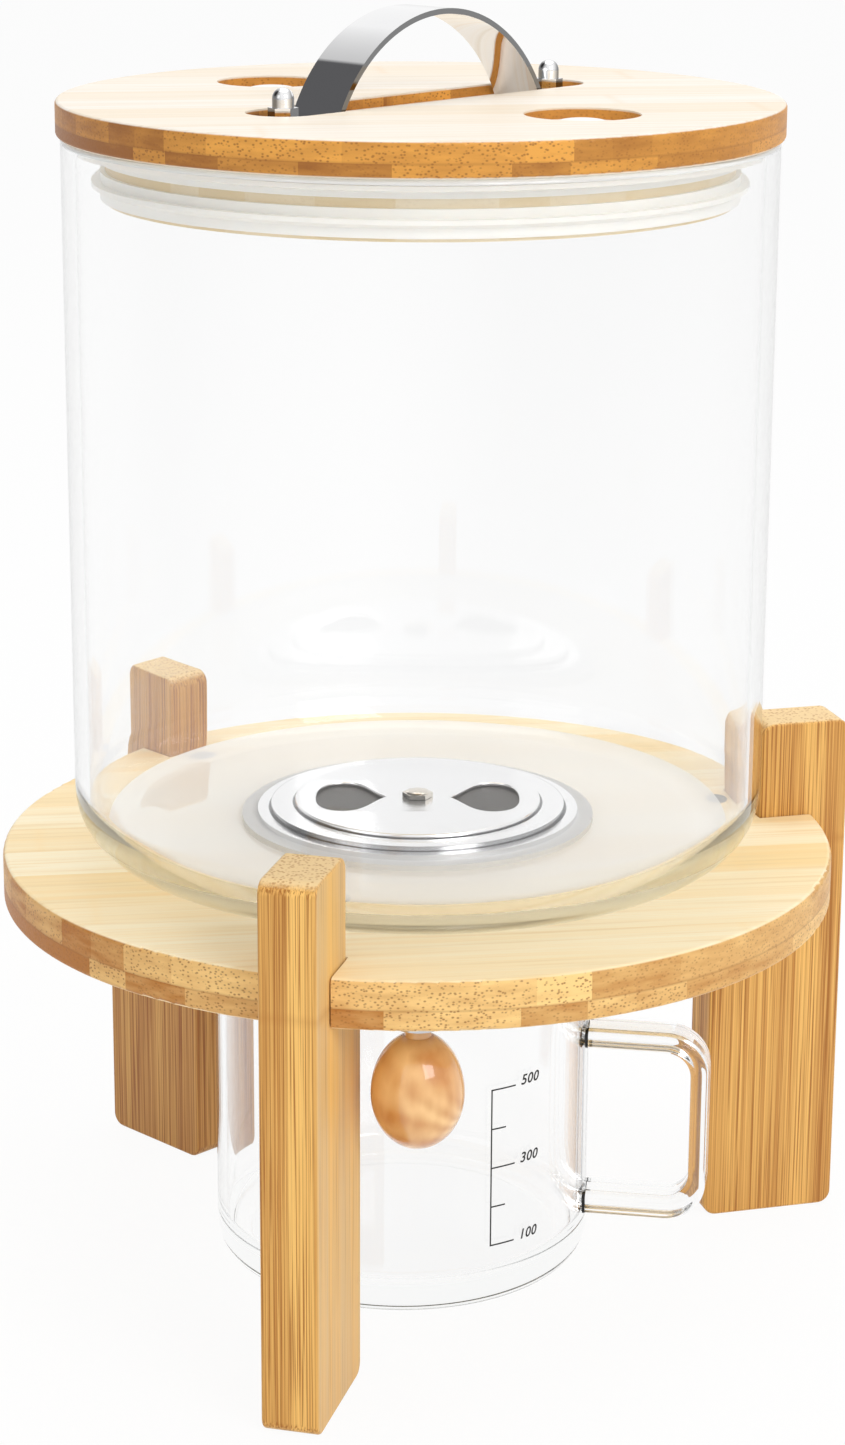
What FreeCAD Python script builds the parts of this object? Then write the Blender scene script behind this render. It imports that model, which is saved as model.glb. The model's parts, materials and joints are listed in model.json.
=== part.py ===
"""Glass canister on a three-legged bamboo stand, with a rotary valve in its floor and a measuring cup below.

Frame: millimetres, +Z up, origin on the canister's axis at floor level. The front, where the valve's lever
points at rest, is -Y. Azimuths count from the front towards +X.
"""
import FreeCAD, Part
import os
import re
import Sketcher

doc = FreeCAD.newDocument("Canister")
sheet = doc.addObject("Spreadsheet::Sheet", "Sizes")

DRIVING = {
    # Stand
    "shelf_thickness": 14.0,
    "outlet_room": 22.0,
    "shelf_edge_round": 1.5,
    "leg_azimuth": -15.0,
    "leg_pitch": 120.0,
    "leg_thickness": 16.0,
    "post_clearance": 4.5,
    "leg_overhang": 10.5,
    "leg_upper_depth": 27.0,
    "leg_lower_depth": 41.0,
    "leg_rise": 28.5,
    "leg_cove": 9.0,
    "leg_corner": 4.0,
    "leg_edge": 1.0,
    "slot_clearance": 0.4,
    "leg_screw_inset": 7.0,
    "leg_screw_radius": 1.75,
    "leg_screw_length": 30.0,
    "leg_screw_head_radius": 4.5,
    "leg_screw_head_height": 3.2,
    "screw_clearance": 0.05,
    # Glass canister
    "jar_radius": 98.0,
    "jar_wall": 4.0,
    "jar_height": 202.0,
    "jar_base": 7.0,
    "jar_foot_round": 18.0,
    "jar_floor_round": 13.0,
    "jar_rim_round": 1.5,
    # Rotary valve
    "barrel_radius": 36.0,
    "barrel_wall": 3.0,
    "barrel_clearance": 1.0,
    "gasket_margin": 4.5,
    "gasket_thickness": 1.6,
    "flange_margin": 3.8,
    "flange_thickness": 1.4,
    "ring_margin": 6.9,
    "ring_thickness": 1.4,
    "plate_seat": 2.3,
    "plate_thickness": 1.2,
    "port_apex": 9.0,
    "port_margin": 4.0,
    "port_crown": 3.0,
    "port_half_angle": 25.0,
    "port_round": 3.0,
    "rotor_thickness": 3.0,
    "rotor_seal_thickness": 1.2,
    "running_clearance": 0.1,
    "hub_radius": 8.0,
    "hub_height": 4.0,
    "spoke_width": 4.0,
    "spoke_count": 3,
    "nut_width": 11.0,
    "nut_thickness": 2.6,
    "nut_grip_radius": 4.0,
    "nut_grip_count": 12,
    "washer_thickness": 1.0,
    "valve_travel": 60.0,
    "centre_screw_radius": 2.0,
    "centre_screw_grip": 12.0,
    "centre_screw_flats": 7.6,
    "centre_screw_head_height": 1.2,
    "centre_screw_crown": 0.9,
    "centre_screw_crown_radius": 3.4,
    "spindle_radius": 4.0,
    "spindle_square": 5.2,
    "spindle_thread_radius": 2.5,
    "spindle_thread_length": 4.6,
    # Lever and knob
    "lever_gap": 0.7,
    "lever_thickness": 2.5,
    "lever_width": 14.0,
    "lever_nut_flats": 8.0,
    "lever_nut_height": 4.0,
    "knob_inset": 24.0,
    "knob_radius": 12.6,
    "knob_lower": 15.3,
    "knob_upper": 17.2,
    "knob_flat_angle": 72.0,
    "knob_neck": 3.2,
    "knob_neck_radius": 3.6,
    "knob_screw_radius": 2.0,
    "knob_screw_grip": 16.0,
    "knob_screw_head_radius": 4.0,
    "knob_screw_head_height": 2.4,
    # Lid
    "lid_overhang": 1.2,
    "lid_thickness": 9.6,
    "lid_edge_round": 1.2,
    "plug_gap": 8.0,
    "plug_thickness": 17.0,
    "groove_depth": 3.0,
    "upper_groove_drop": 0.6,
    "upper_groove_width": 5.4,
    "lower_groove_drop": 8.6,
    "lower_groove_width": 7.4,
    "seal_wall_clearance": 0.4,
    "seal_lower_lip_gap": 4.2,
    "seal_lip_thickness": 1.2,
    "seal_bead": 1.4,
    "handle_azimuth": 137.0,
    "handle_nut_offset": 53.0,
    "handle_foot_end": 4.6,
    "handle_width": 17.0,
    "handle_gauge": 1.5,
    "handle_arch_radius": 45.1,
    "handle_arch_rise": 24.2,
    "handle_slot_depth": 3.0,
    "handle_slot_margin": 1.5,
    "handle_screw_radius": 2.0,
    "handle_screw_head_radius": 3.6,
    "handle_screw_head_height": 2.6,
    "handle_head_clearance": 0.8,
    "cap_nut_flats": 7.0,
    "cap_nut_hex_height": 2.8,
    "cap_nut_height": 8.0,
    "cap_nut_dome_radius": 2.9,
    "cap_nut_thread_depth": 6.0,
    "recess_radius": 15.5,
    "recess_depth": 3.0,
    "recess_offset": 57.5,
    "button_radius": 7.0,
    "button_edge": 0.8,
    "button_crown": 1.1,
    "plug_screw_radius": 1.75,
    "plug_screw_length": 18.0,
    "plug_screw_head_radius": 3.6,
    "plug_screw_head_height": 2.6,
    # Measuring cup
    "cup_radius": 54.7,
    "cup_wall": 2.8,
    "cup_base": 8.5,
    "cup_height": 90.0,
    "cup_foot_round": 10.0,
    "cup_floor_round": 8.0,
    "cup_rim_round": 1.2,
    "cup_offset_x": -4.0,
    "cup_offset_y": -3.0,
    "grip_azimuth": 80.0,
    "grip_reach": 38.3,
    "grip_bar": 5.2,
    "grip_top": 73.6,
    "grip_bottom": 15.4,
    "grip_upper_arm": 6.2,
    "grip_lower_arm": 7.6,
    "grip_width": 12.0,
    "grip_outer_round": 12.0,
    "grip_inner_round": 7.0,
    "grip_edge": 2.0,
    "grip_root": 1.5,
}

DERIVED = {
    "shelf_bottom": "cup_height + outlet_room",
    "shelf_top": "shelf_bottom + shelf_thickness",
    "leg_upper_inner": "jar_radius + post_clearance",
    "leg_outer": "leg_upper_inner + leg_upper_depth",
    "leg_lower_inner": "leg_outer - leg_lower_depth",
    "shelf_radius": "leg_outer - leg_overhang",
    "leg_top": "shelf_top + leg_rise",
    "leg_screw_place": "leg_lower_inner + leg_screw_inset",
    "leg_front_turn": "leg_azimuth - 90",
    "leg_right_turn": "leg_azimuth + leg_pitch - 90",
    "leg_left_turn": "leg_azimuth - leg_pitch - 90",
    "jar_rim": "shelf_top + jar_height",
    "jar_inner": "jar_radius - jar_wall",
    "jar_floor": "shelf_top + jar_base",
    "barrel_hole": "barrel_radius + barrel_clearance",
    "barrel_bore": "barrel_radius - barrel_wall",
    "plate_radius": "barrel_bore + plate_seat",
    "ring_radius": "plate_radius + ring_margin",
    "flange_radius": "ring_radius + flange_margin",
    "gasket_radius": "flange_radius + gasket_margin",
    "nut_radius": "barrel_radius + nut_width",
    "port_outer": "barrel_bore - port_margin",
    "port_corner": "port_outer - port_crown",
    "port_half_width": "port_corner * tan(port_half_angle)",
    "flange_bottom": "jar_floor + gasket_thickness",
    "flange_top": "flange_bottom + flange_thickness",
    "ring_top": "flange_top + ring_thickness",
    "plate_top": "ring_top + plate_thickness",
    "nut_top": "shelf_bottom - washer_thickness",
    "barrel_bottom": "nut_top - nut_thickness",
    "rotor_seal_top": "ring_top - running_clearance",
    "rotor_top": "rotor_seal_top - rotor_seal_thickness",
    "rotor_bottom": "rotor_top - rotor_thickness",
    "rotor_radius": "barrel_bore - running_clearance",
    "lever_top": "barrel_bottom - lever_gap",
    "lever_bottom": "lever_top - lever_thickness",
    "spindle_bottom": "lever_bottom - spindle_thread_length",
    "centre_head_bottom": "plate_top + running_clearance",
    "knob_reach": "shelf_radius - knob_inset",
    "knob_top": "lever_bottom - knob_neck",
    "knob_widest": "knob_top - knob_upper * sin(knob_flat_angle)",
    "lid_radius": "jar_radius + lid_overhang",
    "plug_radius": "jar_inner - plug_gap",
    "lid_top": "jar_rim + lid_thickness",
    "plug_bottom": "jar_rim - plug_thickness",
    "handle_floor": "lid_top - handle_slot_depth",
    "handle_foot_top": "handle_floor + handle_gauge",
    "handle_arch_centre": "lid_top + handle_arch_rise - handle_arch_radius",
    "handle_arch_inner": "handle_arch_radius - handle_gauge",
    "handle_arch_foot": "sqrt(handle_arch_inner ^ 2 - (handle_floor - handle_arch_centre) ^ 2)",
    "handle_foot_tip": "handle_nut_offset + handle_foot_end",
    "handle_turn": "handle_azimuth - 90",
    "handle_slot_half": "handle_width / 2 + handle_slot_margin",
    "recess_floor": "lid_top - recess_depth",
    "upper_groove_top": "jar_rim - upper_groove_drop",
    "upper_groove_bottom": "upper_groove_top - upper_groove_width",
    "lower_groove_top": "jar_rim - lower_groove_drop",
    "lower_groove_bottom": "lower_groove_top - lower_groove_width",
    "groove_floor": "plug_radius - groove_depth",
    "grip_turn": "grip_azimuth - 90",
    "cup_inner": "cup_radius - cup_wall",
    "grip_inner": "cup_inner + grip_root",
    "grip_outer": "cup_inner + grip_reach",
    "grip_window": "grip_outer - grip_bar",
    "grip_window_top": "grip_top - grip_upper_arm",
    "grip_window_bottom": "grip_bottom + grip_lower_arm",
}

for row, (alias, size) in enumerate(DRIVING.items(), start=1):
    sheet.set(f"A{row}", alias)
    sheet.set(f"B{row}", str(size))
    sheet.setAlias(f"B{row}", alias)
for row, (alias, formula) in enumerate(DERIVED.items(), start=1):
    sheet.set(f"D{row}", alias)
    sheet.set(f"E{row}", f"={formula}")
    sheet.setAlias(f"E{row}", alias)
doc.recompute()

ALIASES = set(DRIVING) | set(DERIVED)
SCRATCH_CELL = "G1"
PATH_TOLERANCE = 0.01
FULL_TURN = 360


def bound(expression):
    """The expression with each alias named through the spreadsheet."""
    return re.sub(r"[a-z][a-z_]*", lambda word: f"Sizes.{word[0]}" if word[0] in ALIASES else word[0], expression)


def size(expression):
    """The present value of an expression in the spreadsheet's aliases."""
    if expression in ALIASES:
        return float(sheet.get(expression))
    sheet.set(SCRATCH_CELL, f"={expression}")
    sheet.recompute()
    found = sheet.get(SCRATCH_CELL)
    sheet.clear(SCRATCH_CELL)
    return float(getattr(found, "Value", found))


def bind(thing, **expressions):
    """Ties each property of an object to an expression."""
    for prop, expression in expressions.items():
        thing.setExpression(prop.replace("__", "."), bound(expression))


def place(thing, x="0", y="0", z="0", turn="0", axis=FreeCAD.Vector(0, 0, 1)):
    """Ties an object's place, and its turn about an axis, to expressions."""
    thing.Placement = FreeCAD.Placement(FreeCAD.Vector(), FreeCAD.Rotation(axis, 1))
    bind(thing, Placement__Base__x=x, Placement__Base__y=y, Placement__Base__z=z)
    bind(thing, Placement__Rotation__Angle=turn)
    return thing


def cylinder(name, radius, bottom, top, x="0", y="0"):
    """An upright cylinder between two levels."""
    solid = doc.addObject("Part::Cylinder", name)
    bind(solid, Radius=radius, Height=f"({top}) - ({bottom})")
    return place(solid, x, y, bottom)


def cone(name, lower_radius, upper_radius, bottom, top, x="0", y="0"):
    """An upright cone between two levels."""
    solid = doc.addObject("Part::Cone", name)
    bind(solid, Radius1=lower_radius, Radius2=upper_radius, Height=f"({top}) - ({bottom})")
    return place(solid, x, y, bottom)


def block(name, length, width, bottom, top, start="0"):
    """A box that runs along +X from start, centred across Y."""
    solid = doc.addObject("Part::Box", name)
    bind(solid, Length=length, Width=width, Height=f"({top}) - ({bottom})")
    return place(solid, start, f"-({width}) / 2", bottom)


def hexagon(name, flats, bottom, top, x="0", y="0"):
    """An upright hexagonal prism, sized across its flats."""
    solid = doc.addObject("Part::Prism", name)
    solid.Polygon = 6
    bind(solid, Circumradius=f"({flats}) / sqrt(3)", Height=f"({top}) - ({bottom})")
    return place(solid, x, y, bottom)


def fuse(name, *solids):
    """One solid from several."""
    joined = doc.addObject("Part::MultiFuse", name)
    joined.Shapes = list(solids)
    joined.Refine = True
    return joined


def cut(name, base, *tools):
    """A solid with each tool taken out of it."""
    for number, tool in enumerate(tools, start=1):
        label = name if number == len(tools) else f"{name}_cut_{number}"
        result = doc.addObject("Part::Cut", label)
        result.Base = base
        result.Tool = tool
        base = result
    return base


def group(name, solids):
    """Separate solids kept together under one name."""
    together = doc.addObject("Part::Compound", name)
    together.Links = list(solids)
    return together


def origin_plane(body, role):
    """One of a body's own origin planes."""
    return next(plane for plane in body.Origin.OriginFeatures if plane.Role == role)


def outline(body, name, role, corners):
    """A closed sketch through corners, each a pair of expressions measured from the sketch's origin."""
    sketch = body.newObject("Sketcher::SketchObject", name)
    sketch.AttachmentSupport = [(origin_plane(body, role), "")]
    sketch.MapMode = "FlatFace"
    points = [FreeCAD.Vector(size(across), size(up), 0) for across, up in corners]
    count = len(points)
    for index, point in enumerate(points):
        sketch.addGeometry(Part.LineSegment(point, points[(index + 1) % count]), False)
    for index in range(count):
        sketch.addConstraint(Sketcher.Constraint("Coincident", index, 2, (index + 1) % count, 1))
    for index, corner in enumerate(corners):
        for kind, expression in zip(("DistanceX", "DistanceY"), corner):
            value = size(expression)
            if value < 0:
                number = sketch.addConstraint(Sketcher.Constraint(kind, index, 1, -1, 1, -value))
                sketch.setExpression(f"Constraints[{number}]", bound(f"-({expression})"))
            else:
                number = sketch.addConstraint(Sketcher.Constraint(kind, -1, 1, index, 1, value))
                sketch.setExpression(f"Constraints[{number}]", bound(expression))
    return sketch


def turned(name, corners):
    """A body turned about the vertical axis from (radius, level) corners."""
    body = doc.addObject("PartDesign::Body", name)
    sketch = outline(body, f"{name}_profile", "XZ_Plane", corners)
    spin = body.newObject("PartDesign::Revolution", f"{name}_turned")
    spin.Profile = sketch
    spin.ReferenceAxis = (sketch, ["V_Axis"])
    spin.Angle = FULL_TURN
    doc.recompute()
    return body


def padded(name, role, corners, length):
    """A body padded to both sides of an origin plane."""
    body = doc.addObject("PartDesign::Body", name)
    sketch = outline(body, f"{name}_profile", role, corners)
    pad = body.newObject("PartDesign::Pad", f"{name}_pad")
    pad.Profile = sketch
    pad.Midplane = True
    bind(pad, Length=length)
    doc.recompute()
    return body


def rounded(body, name, radius, chosen):
    """Fillets the edges of a body's tip for which chosen(edge) holds."""
    tip = body.Tip
    names = [f"Edge{number}" for number, edge in enumerate(tip.Shape.Edges, start=1) if chosen(edge)]
    fillet = body.newObject("PartDesign::Fillet", name)
    fillet.Base = (tip, names)
    bind(fillet, Radius=radius)
    doc.recompute()
    return body


def ring_edge(*spots):
    """Chooses the circular edges at (radius, level) spots."""
    wanted = [(size(radius), size(level)) for radius, level in spots]

    def chosen(edge):
        curve = edge.Curve
        if not isinstance(curve, Part.Circle):
            return False
        return any(
            abs(curve.Radius - radius) < PATH_TOLERANCE and abs(curve.Center.z - level) < PATH_TOLERANCE
            for radius, level in wanted
        )

    return chosen


def cross_edge(*spots):
    """Chooses the straight edges along Y through (x, z) spots."""
    wanted = [(size(across), size(level)) for across, level in spots]

    def chosen(edge):
        start, end = (vertex.Point for vertex in (edge.Vertexes[0], edge.Vertexes[-1]))
        if abs(start.x - end.x) > PATH_TOLERANCE or abs(start.z - end.z) > PATH_TOLERANCE:
            return False
        return any(
            abs(start.x - across) < PATH_TOLERANCE and abs(start.z - level) < PATH_TOLERANCE
            for across, level in wanted
        )

    return chosen


def glass_jar():
    """Open canister with a thick floor, rounded foot and a round hole for the valve."""
    jar = turned("glass_jar", [
        ("barrel_hole", "shelf_top"),
        ("jar_radius", "shelf_top"),
        ("jar_radius", "jar_rim"),
        ("jar_inner", "jar_rim"),
        ("jar_inner", "jar_floor"),
        ("barrel_hole", "jar_floor"),
    ])
    rounded(jar, "jar_foot", "jar_foot_round", ring_edge(("jar_radius", "shelf_top")))
    rounded(jar, "jar_inside", "jar_floor_round", ring_edge(("jar_inner", "jar_floor")))
    return rounded(jar, "jar_lip", "jar_rim_round", ring_edge(("jar_radius", "jar_rim"), ("jar_inner", "jar_rim")))


LEG_TURNS = {"leg_front": "leg_front_turn", "leg_right": "leg_right_turn", "leg_left": "leg_left_turn"}


def leg_screw(name, clearance, turn):
    """Countersunk screw through the shelf into a leg's shoulder, or its hole when a clearance is given."""
    along = f"leg_screw_place * cos({turn})"
    across = f"leg_screw_place * sin({turn})"
    shank = cylinder(
        f"{name}_shank", f"leg_screw_radius + {clearance}",
        "shelf_top - leg_screw_length", "shelf_top", along, across,
    )
    head = cone(
        f"{name}_head", f"leg_screw_radius + {clearance}", f"leg_screw_head_radius + {clearance}",
        "shelf_top - leg_screw_head_height", "shelf_top", along, across,
    )
    return fuse(name, shank, head)


def shelf_board():
    """Round board with open rim slots for the legs, countersunk holes and the valve's hole."""
    board = turned("shelf_blank", [
        ("barrel_hole", "shelf_bottom"),
        ("shelf_radius", "shelf_bottom"),
        ("shelf_radius", "shelf_top"),
        ("barrel_hole", "shelf_top"),
    ])
    rim = ring_edge(("shelf_radius", "shelf_bottom"), ("shelf_radius", "shelf_top"))
    rounded(board, "shelf_rim", "shelf_edge_round", rim)
    tools = []
    for leg, turn in LEG_TURNS.items():
        notch = doc.addObject("Part::Box", f"{leg}_notch")
        start = "(leg_upper_inner - slot_clearance)"
        half = "(leg_thickness / 2 + slot_clearance)"
        bind(notch, Length="leg_upper_depth", Width=f"2 * {half}", Height="2 * shelf_thickness")
        x = f"{start} * cos({turn}) + {half} * sin({turn})"
        y = f"{start} * sin({turn}) - {half} * cos({turn})"
        tools.append(place(notch, x, y, "shelf_bottom - shelf_thickness / 2", turn))
        tools.append(leg_screw(f"{leg}_screw_hole", "screw_clearance", turn))
    return cut("shelf_board", board, *tools)


def leg(name, turn):
    """Plank leg: a broad lower part whose shoulder carries the shelf, and a narrower post past its rim."""
    plank = padded(f"{name}_blank", "XZ_Plane", [
        ("leg_lower_inner", "0"),
        ("leg_outer", "0"),
        ("leg_outer", "leg_top"),
        ("leg_upper_inner", "leg_top"),
        ("leg_upper_inner", "shelf_bottom"),
        ("leg_lower_inner - leg_cove", "shelf_bottom"),
        ("leg_lower_inner - leg_cove", "shelf_bottom - 1"),
        ("leg_lower_inner", "shelf_bottom - 1 - leg_cove"),
    ], "leg_thickness")
    corners = cross_edge(
        ("leg_lower_inner", "0"), ("leg_outer", "0"), ("leg_outer", "leg_top"), ("leg_upper_inner", "leg_top"),
    )
    rounded(plank, f"{name}_corners", "leg_corner", corners)
    half = size("leg_thickness") / 2
    floor = size("shelf_bottom")
    inner = size("leg_upper_inner")

    def outside_edge(edge):
        middle = edge.valueAt((edge.FirstParameter + edge.LastParameter) / 2)
        seat = abs(middle.z - floor) < PATH_TOLERANCE and middle.x < inner + PATH_TOLERANCE
        return abs(abs(middle.y) - half) < PATH_TOLERANCE and not seat and middle.x > inner + PATH_TOLERANCE

    rounded(plank, f"{name}_edges", "leg_edge", outside_edge)
    place(plank, turn=turn)
    return cut(name, plank, leg_screw(f"{name}_pilot", "screw_clearance", turn))


def jar_gasket():
    """Flat seal between the valve's flange and the glass floor."""
    disc = cylinder("jar_gasket_disc", "gasket_radius", "jar_floor", "flange_bottom")
    return cut("jar_gasket", disc, cylinder("jar_gasket_hole", "barrel_hole", "jar_floor", "flange_bottom"))


def shelf_gasket():
    """Flat washer between the shelf's underside and the clamp nut."""
    disc = cylinder("shelf_gasket_disc", "nut_radius", "nut_top", "shelf_bottom")
    return cut("shelf_gasket", disc, cylinder("shelf_gasket_hole", "barrel_hole", "nut_top", "shelf_bottom"))


def valve_body():
    """Stepped flange and barrel, with a spoked hub across the outlet that steadies the spindle."""
    shell = turned("valve_shell", [
        ("barrel_bore", "barrel_bottom"),
        ("barrel_radius", "barrel_bottom"),
        ("barrel_radius", "flange_bottom"),
        ("flange_radius", "flange_bottom"),
        ("flange_radius", "flange_top"),
        ("ring_radius", "flange_top"),
        ("ring_radius", "ring_top"),
        ("barrel_bore", "ring_top"),
    ])
    hub_top = "barrel_bottom + hub_height"
    pieces = [shell, cylinder("valve_hub", "hub_radius", "barrel_bottom", hub_top)]
    for number in range(int(size("spoke_count"))):
        spoke = doc.addObject("Part::Box", f"valve_spoke_{number + 1}")
        turn = f"180 + {number} * 360 / spoke_count"
        bind(spoke, Length="barrel_bore + barrel_wall / 2", Width="spoke_width", Height="hub_height")
        x = f"spoke_width / 2 * sin({turn})"
        y = f"-spoke_width / 2 * cos({turn})"
        pieces.append(place(spoke, x, y, "barrel_bottom", turn))
    bore = cylinder("valve_hub_bore", "spindle_radius + running_clearance", "barrel_bottom", hub_top)
    return cut("valve_body", fuse("valve_blank", *pieces), bore)


def clamp_nut():
    """Round nut with finger grips that draws the valve down against the shelf."""
    disc = cylinder("clamp_nut_disc", "nut_radius", "barrel_bottom", "nut_top")
    tools = [cylinder("clamp_nut_bore", "barrel_radius + screw_clearance", "barrel_bottom", "nut_top")]
    for number in range(int(size("nut_grip_count"))):
        turn = f"{number} * 360 / nut_grip_count"
        away = "(nut_radius + nut_grip_radius / 2)"
        tools.append(cylinder(
            f"clamp_nut_grip_{number + 1}", "nut_grip_radius", "barrel_bottom", "nut_top",
            f"{away} * cos({turn})", f"{away} * sin({turn})",
        ))
    return cut("clamp_nut", disc, *tools)


def port(name, turn, bottom, top):
    """Fan-shaped opening with rounded corners, its point towards the valve's centre."""
    fan = padded(name, "XY_Plane", [
        ("port_apex", "0"),
        ("port_corner", "-port_half_width"),
        ("port_outer", "0"),
        ("port_corner", "port_half_width"),
    ], f"2 * (({top}) - ({bottom}))")
    rounded(fan, f"{name}_corners", "port_round", lambda edge: abs(edge.tangentAt(edge.FirstParameter).z) > 0.9)
    return place(fan, z=f"({top} + {bottom}) / 2", turn=turn)


def ported_disc(name, radius, bottom, top, turn):
    """Disc with a centre hole and two ports opposite each other."""
    disc = cylinder(f"{name}_disc", radius, bottom, top)
    hole = cylinder(f"{name}_hole", "centre_screw_radius + running_clearance", bottom, top)
    first = port(f"{name}_port_1", turn, bottom, top)
    second = port(f"{name}_port_2", f"{turn} + 180", bottom, top)
    return cut(name, disc, hole, first, second)


def centre_screw():
    """Low hexagon-head screw with a domed crown that draws the rotor up under the valve plate."""
    head_top = "centre_head_bottom + centre_screw_head_height"
    head = hexagon("centre_screw_head", "centre_screw_flats", "centre_head_bottom", head_top)
    shank = cylinder("centre_screw_shank", "centre_screw_radius", "rotor_bottom - centre_screw_grip", head_top)
    crown = doc.addObject("Part::Ellipsoid", "centre_screw_dome")
    crown.Angle1 = 0
    crown.Angle2 = 90
    across = "centre_screw_crown_radius"
    bind(crown, Radius1="centre_screw_crown", Radius2=across, Radius3=across)
    place(crown, z=head_top)
    return fuse("centre_screw", head, shank, crown)


def spindle():
    """Round shaft with a squared seat for the lever and a threaded end below it."""
    shaft = cylinder("spindle_shaft", "spindle_radius", "lever_top", "rotor_bottom")
    seat = block(
        "spindle_seat", "spindle_square", "spindle_square", "lever_bottom", "lever_top", "-spindle_square / 2",
    )
    thread = cylinder("spindle_thread", "spindle_thread_radius", "spindle_bottom", "lever_bottom")
    hole = cylinder(
        "spindle_tapping", "centre_screw_radius + screw_clearance",
        "rotor_bottom - centre_screw_grip", "rotor_bottom",
    )
    return cut("spindle", fuse("spindle_blank", shaft, seat, thread), hole)


def lever_arm():
    """Flat bar with round ends, from the spindle's square to the knob in front."""
    bar = doc.addObject("Part::Box", "lever_bar")
    bind(bar, Length="lever_width", Width="knob_reach", Height="lever_thickness")
    place(bar, "-lever_width / 2", "-knob_reach", "lever_bottom")
    ends = [
        cylinder("lever_hub_end", "lever_width / 2", "lever_bottom", "lever_top"),
        cylinder("lever_knob_end", "lever_width / 2", "lever_bottom", "lever_top", "0", "-knob_reach"),
    ]
    side = "(spindle_square + 2 * screw_clearance)"
    square = block("lever_square", side, side, "lever_bottom", "lever_top", f"-{side} / 2")
    hole_radius = "knob_screw_radius + screw_clearance"
    hole = cylinder("lever_hole", hole_radius, "lever_bottom", "lever_top", "0", "-knob_reach")
    return cut("lever_arm", fuse("lever_blank", bar, *ends), square, hole)


def lever_nut():
    """Hexagon nut on the spindle's lower end."""
    bottom = "lever_bottom - lever_nut_height"
    prism = hexagon("lever_nut_prism", "lever_nut_flats", bottom, "lever_bottom")
    hole = cylinder("lever_nut_hole", "spindle_thread_radius + screw_clearance", bottom, "lever_bottom")
    return cut("lever_nut", prism, hole)


def knob():
    """Egg-shaped turned knob with a short neck up against the lever."""
    lower = doc.addObject("Part::Ellipsoid", "knob_lower_half")
    lower.Angle1 = -90
    lower.Angle2 = 0
    bind(lower, Radius1="knob_lower", Radius2="knob_radius", Radius3="knob_radius")
    upper = doc.addObject("Part::Ellipsoid", "knob_upper_half")
    upper.Angle1 = 0
    bind(upper, Radius1="knob_upper", Radius2="knob_radius", Radius3="knob_radius", Angle2="knob_flat_angle")
    for half in (lower, upper):
        place(half, "0", "-knob_reach", "knob_widest")
    hole = cylinder(
        "knob_hole", "knob_screw_radius + screw_clearance",
        "lever_bottom - knob_screw_grip", "lever_bottom", "0", "-knob_reach",
    )
    neck = cylinder("knob_collar", "knob_neck_radius", "knob_top", "lever_bottom", "0", "-knob_reach")
    return cut("knob", fuse("knob_blank", lower, upper, neck), hole)


def knob_screw():
    """Pan-head screw down through the lever into the knob."""
    head_top = "lever_top + knob_screw_head_height"
    head = cylinder("knob_screw_head", "knob_screw_head_radius", "lever_top", head_top, "0", "-knob_reach")
    shank = cylinder(
        "knob_screw_shank", "knob_screw_radius", "lever_bottom - knob_screw_grip", "lever_top", "0", "-knob_reach",
    )
    return fuse("knob_screw", head, shank)


def handle_places():
    """Where the two handle screws stand."""
    return [(f"{sign}handle_nut_offset * cos(handle_turn)", f"{sign}handle_nut_offset * sin(handle_turn)")
            for sign in ("", "-")]


def recess_places():
    """Where the two round recesses are, square to the handle."""
    return [(f"{sign}recess_offset * sin(handle_turn)", f"-({sign}recess_offset) * cos(handle_turn)")
            for sign in ("", "-")]


def plug_screw(name, clearance, spot):
    """Countersunk screw from a recess down into the lid's plug, or its hole when a clearance is given."""
    head_bottom = "recess_floor - plug_screw_head_height"
    shank = cylinder(
        f"{name}_shank", f"plug_screw_radius + {clearance}",
        "recess_floor - plug_screw_length", "recess_floor", *spot,
    )
    head = cone(
        f"{name}_head", f"plug_screw_radius + {clearance}", f"plug_screw_head_radius + {clearance}",
        head_bottom, "recess_floor", *spot,
    )
    return fuse(name, shank, head)


def lid_board():
    """Round board with a stadium slot for the handle's feet and two round recesses."""
    board = turned("lid_blank", [
        ("0", "jar_rim"), ("lid_radius", "jar_rim"), ("lid_radius", "lid_top"), ("0", "lid_top"),
    ])
    rim = ring_edge(("lid_radius", "jar_rim"), ("lid_radius", "lid_top"))
    rounded(board, "lid_rim", "lid_edge_round", rim)
    slot = doc.addObject("Part::Box", "handle_slot")
    half_length = "handle_nut_offset"
    bind(slot, Length=f"2 * {half_length}", Width="2 * handle_slot_half", Height="2 * handle_slot_depth")
    x = f"-{half_length} * cos(handle_turn) + handle_slot_half * sin(handle_turn)"
    y = f"-{half_length} * sin(handle_turn) - handle_slot_half * cos(handle_turn)"
    tools = [place(slot, x, y, "handle_floor", "handle_turn")]
    slot_top = "handle_floor + 2 * handle_slot_depth"
    for number, spot in enumerate(handle_places(), start=1):
        tools.append(cylinder(f"handle_slot_end_{number}", "handle_slot_half", "handle_floor", slot_top, *spot))
        hole = "handle_screw_radius + screw_clearance"
        tools.append(cylinder(f"handle_hole_{number}", hole, "jar_rim", "lid_top", *spot))
    for number, spot in enumerate(recess_places(), start=1):
        top = "lid_top + recess_depth"
        tools.append(cylinder(f"recess_{number}", "recess_radius", "recess_floor", top, *spot))
        tools.append(plug_screw(f"lid_plug_hole_{number}", "screw_clearance", spot))
    return cut("lid_board", board, *tools)


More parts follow.
